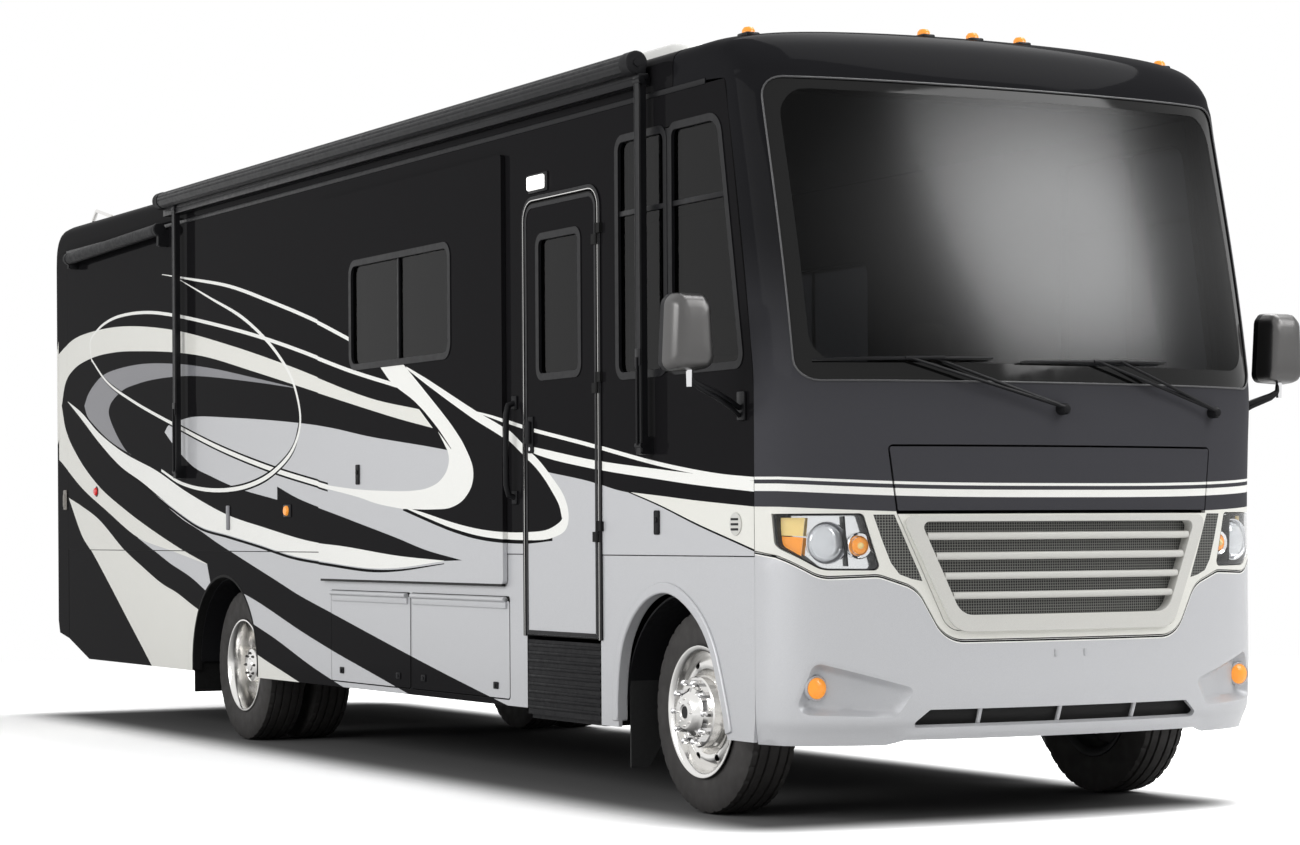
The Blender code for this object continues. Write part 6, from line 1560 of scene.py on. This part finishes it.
for side, tag in SIDES:
    disc_fitting(f"marker_red_base_{tag}", -8.34, 1.56, 0.036, 0.006, "satin", side)
    disc_fitting(f"marker_red_{tag}", -8.34, 1.56, 0.028, 0.018, "red", side)
    Shape().box((-4.835, side * HALF_W, 1.363), (-4.715, side * (HALF_W + 0.008), 1.437), 0.006).make(
        f"marker_side_base_{tag}", "satin")
    disc_fitting(f"marker_side_lens_{tag}", -4.775, 1.40, 0.030, 0.022, "amber", side)
    Shape().box((-9.075, side * HALF_W, 1.44), (-9.005, side * (HALF_W + 0.010), 1.58), 0.006).box(
        (-9.060, side * HALF_W, 1.46), (-9.020, side * (HALF_W + 0.018), 1.55),
        0.006).make(f"side_outlet_{tag}", "trim")
    Shape().box((-5.785, side * HALF_W, 1.29), (-5.735, side * (HALF_W + 0.012), 1.44), 0.006).make(
        f"side_latch_{tag}", "grey")
    for i, (x, z) in enumerate(((-3.65, 1.59), (-0.22, 1.31))):
        off = 0.026 if side < 0 and i == 0 else 0.0
        body = "slideout" if side < 0 and i == 0 else "coach"
        lock = Shape().box((x - 0.024, side * (HALF_W + off), z - 0.055),
                           (x + 0.024, side * (HALF_W + off + 0.008), z + 0.055),
                           0.008)
        lock.lathe([(side * a, r) for a, r in ((0.0, 0.0), (0.0, 0.013), (0.014, 0.012), (0.014, 0.0))],
                   (x, side * (HALF_W + off), z + 0.012), 16)
        lock.make(f"side_lock_{i}_{tag}", "plastic", body)
    vent = Shape().lathe([(side * a, r) for a, r in ((0.0, 0.0), (0.0, 0.050), (0.007, 0.050),
                                                     (0.010, 0.044), (0.010, 0.0))],
                         (0.50, side * HALF_W, 1.30), 28)
    vent.make(f"round_vent_{tag}", "grille")
    # Painted shade: near-black strips for the vent's slots.
    for k in (-1, 0, 1):
        Shape().box((0.468, side * (HALF_W + 0.008), 1.294 + 0.022 * k),
                    (0.532, side * (HALF_W + 0.012), 1.304 + 0.022 * k),
                    0.001).make(f"round_vent_slot_{tag}_{k + 1}", "gap")
    for (x0, x1), place in zip(BAYS, ("rear", "front")):
        latches = Shape()
        for x in (x0 + 0.16, x1 - 0.16):
            latches.box((x - 0.028, side * (HALF_W - 0.001), 0.482),
                        (x + 0.028, side * (HALF_W + 0.007), 0.518), 0.005)
            latches.lathe([(side * a, r) for a, r in ((0.0, 0.0), (0.0, 0.010), (0.011, 0.010),
                                                      (0.011, 0.0))],
                          (x, side * HALF_W, 0.500), 16)
        latches.make(f"bay_latches_{tag}_{place}", "plastic", f"baggage_door_{tag}_{place}")
        hinge = Shape().lathe([(x0 + 0.030, 0.0), (x0 + 0.030, 0.0139), (x1 - 0.030, 0.0139),
                               (x1 - 0.030, 0.0)],
                              (0, side * (HALF_W + 0.012), BAY_Z1 + 0.003), 24, "X")
        hinge.box((x0 + 0.030, side * HALF_W, 0.8885), (x1 - 0.030, side * (HALF_W + 0.0115), 0.9375), 0.003)
        hinge.make(f"bay_hinge_{tag}_{place}", "silver", f"baggage_door_{tag}_{place}")
    low = FRONT_SKIRT_BOTTOM + 0.003
    edge = [(x, max(z, low)) for x, z in spline(FRONT_EDGE, 5)[1:-1]]
    lip = widened(edge, 0.050, low) + widened(edge, -0.001, low)[::-1]
    Shape().plate(lip, [], side * (HALF_W - 0.050), side * (HALF_W + 0.010)).make(
        f"arch_lip_front_{tag}", "silver", smooth=50, bevel=0.007)
    cx, half, top = ARCHES["rear"]
    arc = arch(cx, half - 0.002, top - 0.002, SKIRT_BOTTOM + 0.004, 48)
    wide_arc = arch(cx, half + 0.016, top + 0.015, SKIRT_BOTTOM + 0.004, 48)
    Shape().plate(wide_arc + arc[::-1], [], side * (HALF_W - 0.050), side * (HALF_W + 0.002)).make(
        f"arch_lip_rear_{tag}", "seam", smooth=50, bevel=0.003)

# Steps in the entry well
ribs = Shape()
for k in range(9):
    z = 0.405 + 0.038 * k
    ribs.box((-1.572, -1.2845, z), (-0.798, -1.2900, z + 0.016), 0.004)
ribs.make("stepwell_ribs", "plastic")

# Patio awning: fabric on its roller, end caps, and channelled arms
AWNING_Y = -(HALF_W + 0.075)
spiral = Shape()
points = []
for x in (-6.70, -0.33):
    for k in range(49):
        a = 2 * pi * k / 48 + 0.5
        r = 0.0525 - 0.0035 * (k / 48)
        points.append((x, AWNING_Y + r * cos(a), 3.395 + r * sin(a)))
n = 49
faces = [(k, k + 1, n + k + 1, n + k) for k in range(n - 1)] + [tuple(range(n))[::-1], tuple(range(n, 2 * n))]
faces.append((n - 1, 0, n, 2 * n - 1))
spiral.add(points, faces).make("awning_roll", "vinyl", smooth=40)
ends = Shape()
for x, way in ((-0.285, 1), (-6.745, -1)):
    ends.lathe([(-0.045, 0.0), (-0.045, 0.0545), (0.030, 0.0545), (0.036, 0.048), (0.036, 0.020),
                (0.042, 0.018), (0.042, 0.0)]
               if way > 0 else [(0.045, 0.0), (0.045, 0.0545), (-0.030, 0.0545), (-0.036, 0.048),
                                (-0.036, 0.0)],
               (x, AWNING_Y, 3.395), 32, "X")
ends.make("awning_end_caps", "plastic")
Shape().box((-6.73, -(HALF_W + 0.064), 3.343), (-0.30, -(HALF_W + 0.002), 3.350), 0.002).box(
    (-6.75, -(HALF_W + 0.066), 3.296), (-0.28, -(HALF_W + 0.056), 3.330), 0.003).make("awning_rail_trim",
            "satin")
for x, tag in ((-0.27, "front"), (-6.55, "rear")):
    arm = Shape()
    for k in (-1, 1):
        arm.box((x + k * 0.0225, -(HALF_W + 0.0715), 1.63), (x + k * 0.0185, -(HALF_W + 0.060), 3.30), 0.001)
    arm.make(f"awning_arm_edges_{tag}", "steel")
    hinge = Shape().lathe([(-0.030, 0.0), (-0.030, 0.014), (0.030, 0.014), (0.030, 0.0)],
                          (x, -(HALF_W + 0.062), 1.66), 16, "X")
    hinge.lathe([(-0.034, 0.0), (-0.034, 0.016), (0.034, 0.016), (0.034, 0.0)],
                (x, -(HALF_W + 0.060), 3.315), 16, "X")
    hinge.box((x - 0.030, -(HALF_W + 0.074), 3.32), (x + 0.030, -(HALF_W + 0.020), 3.345), 0.004)
    hinge.box((x - 0.026, -(HALF_W + 0.0735), 2.02), (x + 0.026, -(HALF_W + 0.066), 2.10), 0.003)
    hinge.make(f"awning_hinges_{tag}", "satin")
    Shape().tube([(x, -(HALF_W + 0.076), 1.66), (x, -(HALF_W + 0.0765), 2.06)], 0.0065, 10).make(
        f"awning_strut_{tag}", "satin")

# Topper awning over the rear slide
Shape().tube([(-8.70, -(HALF_W + 0.060), 3.1870), (-6.89, -(HALF_W + 0.060), 3.2240)], 0.0395,
             28).make("topper_roll", "vinyl")
topper = Shape()
for x, z in ((-8.735, 3.1855), (-6.855, 3.2245)):
    topper.lathe([(-0.022, 0.0), (-0.022, 0.042), (0.016, 0.042), (0.022, 0.036), (0.022, 0.0)],
                 (x, -(HALF_W + 0.060), z), 28, "X")
    topper.box((x - 0.020, -(HALF_W + 0.060), 3.115), (x + 0.020, -(HALF_W + 0.002), 3.20), 0.004)
topper.make("topper_ends", "plastic")

# Roof units: moulded shrouds with louvres and a deck
for x, tag in ((-2.20, "front"), (-6.90, "rear")):
    z0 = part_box(f"air_conditioner_{tag}")[0].z
    z1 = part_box(f"air_conditioner_{tag}")[1].z
    high = z1 - z0
    lower = rectangle(x - 0.42, -0.34, x + 0.42, 0.34, 0.10, 8)
    rows = ((0.0, 0.985), (0.06, 1.0), (0.50, 0.99), (0.62, 0.972), (0.80, 0.92), (0.93, 0.855),
            (0.985, 0.80), (1.0, 0.72))
    points = []
    for level, k in rows:
        points += [(x + (a - x) * k + 0.02 * level, b * k, z0 + high * level) for a, b in lower]
    faces = capped_faces(len(rows), len(lower))
    shroud = Shape().add(points, faces).make(f"roof_unit_shroud_{tag}", "shroud", smooth=50)
    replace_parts(shroud, f"air_conditioner_{tag}")
    # Painted shade: near-black strips for the louvre openings.
    slots = Shape()
    for k in range(5):
        z = z0 + 0.045 + 0.026 * k
        slots.box((x - 0.4215, -0.21, z), (x - 0.400, 0.21, z + 0.012), 0.002)
        slots.box((x - 0.26, -0.3415, z), (x + 0.26, -0.320, z + 0.012), 0.002)
        slots.box((x - 0.26, 0.320, z), (x + 0.26, 0.3415, z + 0.012), 0.002)
    slots.make(f"roof_unit_louvres_{tag}", "gap")

# Windshield gasket and two small slots in the bumper
gasket = [on_nose(y, t, 0.001) for y, t in split_long(WINDSHIELD, 0.06)]
Shape().tube(gasket + [gasket[0]], 0.0045, 8).make("windshield_gasket", "gasket", smooth=60)
slots = Shape()
for y in (-0.075, 0.080):
    foot = on_nose(y, 0.735, 0.001)
    slots.box(foot + Vector((-0.004, -0.005, -0.016)), foot + Vector((0.003, 0.005, 0.016)), 0.002)
# The slots take the recess's painted-shade silver.
slots.make("bumper_slots", "recess")

# Wheel houses and mud flaps
for side, tag in SIDES:
    flap = [(HALF_W - 0.060, 0.172), (HALF_W - 0.060, 0.640), (1.055, 0.640), (1.055, 0.300), (1.130, 0.172)]
    n = len(flap)
    points = [(x, side * y, z) for x in (-0.612, -0.604) for y, z in flap]
    faces = [tuple(range(n)), tuple(range(n, 2 * n))[::-1]] + [(k, (k + 1) % n, n + (k + 1) % n, n + k)
                                                               for k in range(n)]
    Shape().add(points, faces).make(f"mud_flap_front_{tag}", "rubber")
    for place, depth in (("front", 0.62), ("rear", 0.60)):
        cx, half, top = ARCHES[place]
        outer = arch(cx, half - 0.001, top - 0.002, SKIRT_BOTTOM + 0.06, 36)
        inner = arch(cx, half - 0.011, top - 0.012, SKIRT_BOTTOM + 0.06, 36)
        house = Shape().plate(outer + inner[::-1], [], side * (HALF_W - 0.052), side * depth)
        back = [p for p in arch(cx, half - 0.004, top - 0.004, 0.70, 36) if p[1] > 0.69]
        house.plate(back, [], side * depth, side * (depth + 0.008))
        house.make(f"wheel_house_{tag}_{place}", "plastic", smooth=40)

# Cabin: liners, floor covering and padded seats
for side, tag in SIDES:
    y0, y1 = side * (HALF_W - 0.062), side * (HALF_W - 0.066)
    holes = [shrink(CAB_GLASS, -0.004)]
    if side > 0:
        holes.append(shrink(LEFT_GLASS, -0.004))
        edge = [(REAR_SEAM_X + 0.05, 1.17), (0.62, 1.17), (0.62, 1.90), (0.42, 3.05), (0.40, 3.20),
                (REAR_SEAM_X + 0.05, 3.20)]
    else:
        edge = [(DOOR_X1 + 0.03, 1.17), (0.62, 1.17), (0.62, 1.90), (0.42, 3.05), (0.40, 3.20),
                (DOOR_X1 + 0.03, 3.20)]
    Shape().plate(edge, holes, y0, y1).make(f"cabin_liner_{tag}", "trim")
Shape().box((REAR_SEAM_X + 0.06, -(HALF_W - 0.07), 3.205), (0.36, HALF_W - 0.07, 3.215),
            0.002).make("cabin_ceiling", "trim")
Shape().box((REAR_SEAM_X + 0.06, -(HALF_W - 0.07), 1.0355), (0.25, HALF_W - 0.07, 1.0395),
            0.001).make("cabin_carpet", "carpet")


def pad(name, centre, size, tilt=0.0, power=3.2, crown=0.12, seams=(), body="coach", node=None):
    """A crowned cushion: a soft box whose sides pull in, with sewn channels across it."""
    points = []
    rows, columns = 20, 36

    def soft(a, e):
        return (1 if a >= 0 else -1) * abs(a) ** (2 / e)

    for i in range(rows + 1):
        v = -pi / 2 + pi * i / rows
        for k in range(columns):
            u = 2 * pi * k / columns
            x = soft(cos(v), power) * soft(cos(u), power)
            y = soft(cos(v), power) * soft(sin(u), power)
            z = soft(sin(v), 2.4)
            swell = 1 + crown * (1 - x * x) * (1 - y * y)
            dent = sum(0.10 * np.exp(-((x - q) / 0.045) ** 2) for q in seams)
            dent += 0.06 * np.exp(-((abs(y) - 0.72) / 0.05) ** 2) if seams else 0.0
            p = Vector((x * size[0] / 2 * (1 - 0.03 * y * y), y * size[1] / 2 * (1 - 0.03 * x * x),
                        z * size[2] / 2 * swell * (1 - dent)))
            p.rotate(Matrix.Rotation(tilt, 3, "Y"))
            points.append(p + Vector(centre))
    obj = Shape().add(points, grid_faces(rows + 1, columns, True)).make(name, "leather", body, 60)
    smooth = obj.modifiers.new("soft", "SUBSURF")
    smooth.levels = smooth.render_levels = 1
    if node:
        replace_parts(obj, node)
    return obj


for y, tag in ((0.62, "driver"), (-0.62, "passenger")):
    pad(f"{tag}_cushion", (-0.445, y, 1.495), (0.54, 0.51, 0.125), 0.02, 5, 0.16, (-0.45, 0.0, 0.45),
        node=f"{tag}_seat")
    pad(f"{tag}_back", (-0.800, y, 1.790), (0.66, 0.49, 0.115), radians(-77.5), 5, 0.2, (-0.5, 0.0, 0.5))
    pad(f"{tag}_headrest", (-0.905, y, 2.195), (0.225, 0.27, 0.085), radians(-78), 4, 0.15)
    for side, hand in SIDES:
        arm_y = y + 0.27 * side
        pad(f"{tag}_arm_{hand}", (-0.565, arm_y, 1.705), (0.36, 0.066, 0.046), 0.0, 4, 0.05)
        Shape().tube([(-0.70, arm_y, 1.56), (-0.72, arm_y, 1.69)], 0.014, 10).make(f"{tag}_arm_post_{hand}",
                "steel")
    foot = Shape().box((-0.60, y - 0.15, 1.040), (-0.32, y + 0.15, 1.070), 0.008)
    foot.box((-0.54, y - 0.10, 1.066), (-0.38, y + 0.10, 1.400), 0.02).box((-0.66, y - 0.19, 1.395),
            (-0.24, y + 0.19, 1.432), 0.01)
    foot.make(f"{tag}_seat_base", "steel")

# Steering wheel and instruments
STEERING = Vector((0.04, 0.55, 1.725))
LEAN = Matrix.Rotation(radians(24), 3, "Y")

def on_steering(out, radius, angle):
    return STEERING + LEAN @ Vector((out, radius * cos(angle), radius * sin(angle)))

ring = Shape().tube([on_steering(0, 0.205, 2 * pi * k / 48) for k in range(49)], 0.0155, 12)
for a in (0.0, pi, -pi / 2):
    ring.tube([on_steering(0.015, 0.05, a), on_steering(0, 0.2, a)], 0.013, 8)
ring.make("steering_wheel", "plastic", smooth=60)
Shape().lathe([(-0.03, 0.0), (-0.03, 0.065), (0.0, 0.075), (0.022, 0.06), (0.028, 0.0)],
              (0.035, 0.55, 1.727), 28, "X").make(
    "steering_hub", "plastic")
Shape().box((0.33, 0.28, 1.775), (0.50, 0.82, 1.845), 0.03).make("instrument_hood", "plastic")
Shape().box((0.270, 0.33, 1.665), (0.285, 0.77, 1.775), 0.006).make("instrument_panel", "frit")
Shape().box((0.272, -0.18, 1.40), (0.288, 0.16, 1.64), 0.008).make("centre_stack", "satin")

# Rear: lamps and a bare plate place
for side, tag in SIDES:
    x = REAR_X
    Shape().box((x - 0.012, side * 1.205, 1.02), (x + 0.02, side * 1.075, 1.50),
                0.012).make(f"tail_lamp_bezel_{tag}", "satin")
    for lamp, z0, z1, key in (("tail", 1.24, 1.49, "red"), ("turn", 1.135, 1.230, "amber"),
                              ("reverse", 1.030, 1.125, "clear")):
        Shape().box((x - 0.024, side * 1.193, z0), (x, side * 1.087, z1), 0.012).make(f"{lamp}_lamp_{tag}",
                key)
    # Painted glow: the rear reflectors take the glowing red lens, though they are no lamps.
    Shape().box((x - 0.010, side * 0.92, 0.655), (x + 0.01, side * 0.76, 0.700),
                0.006).make(f"rear_reflector_{tag}", "red")
for i, y in enumerate((-1.12, -0.24, 0.0, 0.24, 1.12)):
    foot = tail.place(s_of(y), 3.30, 0.0)
    Shape().box(foot + Vector((-0.014, -0.055, -0.020)), foot + Vector((0.015, 0.055, 0.020)), 0.006).make(
        f"rear_marker_{i}", "red")
Shape().box((REAR_X - 0.006, -0.19, 0.985), (REAR_X + 0.01, 0.19, 1.155), 0.010).make("plate_place", "satin")
Shape().box((REAR_X - 0.014, -0.06, 1.165), (REAR_X + 0.01, 0.06, 1.190), 0.006).make("plate_lamp", "clear")


# Stage, light and camera
def seen_or_mirrored(tree, path):
    """1 for a ray from the camera, off gloss or through glass."""
    indirect = maths(tree, "MAXIMUM", path.outputs["Is Glossy Ray"], path.outputs["Is Transmission Ray"])
    return maths(tree, "MAXIMUM", path.outputs["Is Camera Ray"], indirect)

def beyond(tree, value, half):
    """How far a value lies past a half width, on either side."""
    return maths(tree, "MAXIMUM", maths(tree, "SUBTRACT", maths(tree, "ABSOLUTE", value), half), 0.0)

world = bpy.data.worlds.new("studio")
scene.world = world
world.use_nodes = True
tree = world.node_tree
background = tree.nodes["Background"]
background.inputs["Color"].default_value = (1, 1, 1, 1)
seen = seen_or_mirrored(tree, tree.nodes.new("ShaderNodeLightPath"))
tree.links.new(map_range(tree, seen, (0.0, 1.0), (0.50, 1.0)), background.inputs["Strength"])

floor_mat = bpy.data.materials.new("pale_floor")
floor_mat.use_nodes = True
tree = floor_mat.node_tree
tree.nodes.remove(tree.nodes["Principled BSDF"])
shader = tree.nodes.new("ShaderNodeBsdfDiffuse")
path = tree.nodes.new("ShaderNodeLightPath")
pale = map_range(tree, path.outputs["Is Camera Ray"], (0.0, 1.0), (0.72, 1.60))

# Painted shade: under the body the floor's colour darkens towards the middle, as where little light comes in
SHADE_HALF_X, SHADE_HALF_Y, SHADE_SHIFT_Y, SHADE_FADE = 4.70, 1.10, 0.10, 0.60
split = tree.nodes.new("ShaderNodeSeparateXYZ")
tree.links.new(object_place(tree), split.inputs[0])
beyond_x = beyond(tree, split.outputs["X"], SHADE_HALF_X)
beyond_y = beyond(tree, maths(tree, "ADD", split.outputs["Y"], SHADE_SHIFT_Y), SHADE_HALF_Y)
squares = [maths(tree, "MULTIPLY", value, value) for value in (beyond_x, beyond_y)]
reach = maths(tree, "SQRT", maths(tree, "ADD", *squares))
unshaded_share = map_range(tree, reach, (0.0, SHADE_FADE), (0.10, 1.0), True)
tree.links.new(maths(tree, "MULTIPLY", pale, unshaded_share), shader.inputs["Color"])

# Far from the body the floor gives way to plain light
FADE_START, FADE_END, FLOOR_REACH = 8.5, 14.0, 120.0
far = tree.nodes.new("ShaderNodeEmission")
tree.links.new(map_range(tree, seen_or_mirrored(tree, path), (0.0, 1.0), (0.4, 1.0)), far.inputs["Strength"])
distance = vector_maths(tree, "LENGTH", object_place(tree))
mix = tree.nodes.new("ShaderNodeMixShader")
tree.links.new(map_range(tree, distance, (FADE_START, FADE_END), (0.0, 1.0), True), mix.inputs[0])
tree.links.new(shader.outputs[0], mix.inputs[1])
tree.links.new(far.outputs[0], mix.inputs[2])
tree.links.new(mix.outputs[0], tree.nodes["Material Output"].inputs["Surface"])
floor_mesh = bpy.data.meshes.new("studio_floor")
corners = [(x * FLOOR_REACH, y * FLOOR_REACH, 0) for x, y in ((-1, -1), (1, -1), (1, 1), (-1, 1))]
floor_mesh.from_pydata(corners, [], [(0, 1, 2, 3)])
floor_obj = bpy.data.objects.new("studio_floor", floor_mesh)
floor_mesh.materials.append(floor_mat)
scene.collection.objects.link(floor_obj)

def area_light(name, location, target, size, energy):
    data = bpy.data.lights.new(name, "AREA")
    data.shape = "RECTANGLE"
    data.size, data.size_y = size
    data.energy = energy
    obj = bpy.data.objects.new(name, data)
    obj.location = location
    obj.rotation_euler = (Vector(target) - Vector(location)).to_track_quat("-Z", "Y").to_euler()
    scene.collection.objects.link(obj)
    return obj


area_light("top_softbox", (0.5, 5.6, 14.0), (0.0, 0.0, 1.0), (18, 8.5), 2700)
area_light("side_softbox", (4.0, -13.0, 6.0), (1.0, 0.0, 1.5), (14, 5), 1060)
area_light("front_softbox", (12.6, 6.9, 8.2), (5.0, 0.1, 2.6), (5.6, 6.2), 640)

CAMERA_PLACE = Vector((12.0391 + AXLE_X, -7.8848, 1.2809))
CAMERA_LOOK = Vector((-0.8818, 0.4716, 0.0))
CAMERA_ROLL = -0.006
camera_data = bpy.data.cameras.new("camera")
camera = bpy.data.objects.new("camera", camera_data)
scene.collection.objects.link(camera)
camera.location = CAMERA_PLACE
camera.rotation_mode = "QUATERNION"
turned = CAMERA_LOOK.to_track_quat("-Z", "Y").to_matrix() @ Matrix.Rotation(CAMERA_ROLL, 3, "Z")
camera.rotation_quaternion = turned.to_quaternion()
camera_data.sensor_width = 36.0
camera_data.lens = 85.06
camera_data.shift_y = 0.0819
camera_data.clip_end = 500
scene.camera = camera
scene.view_settings.view_transform = "Standard"
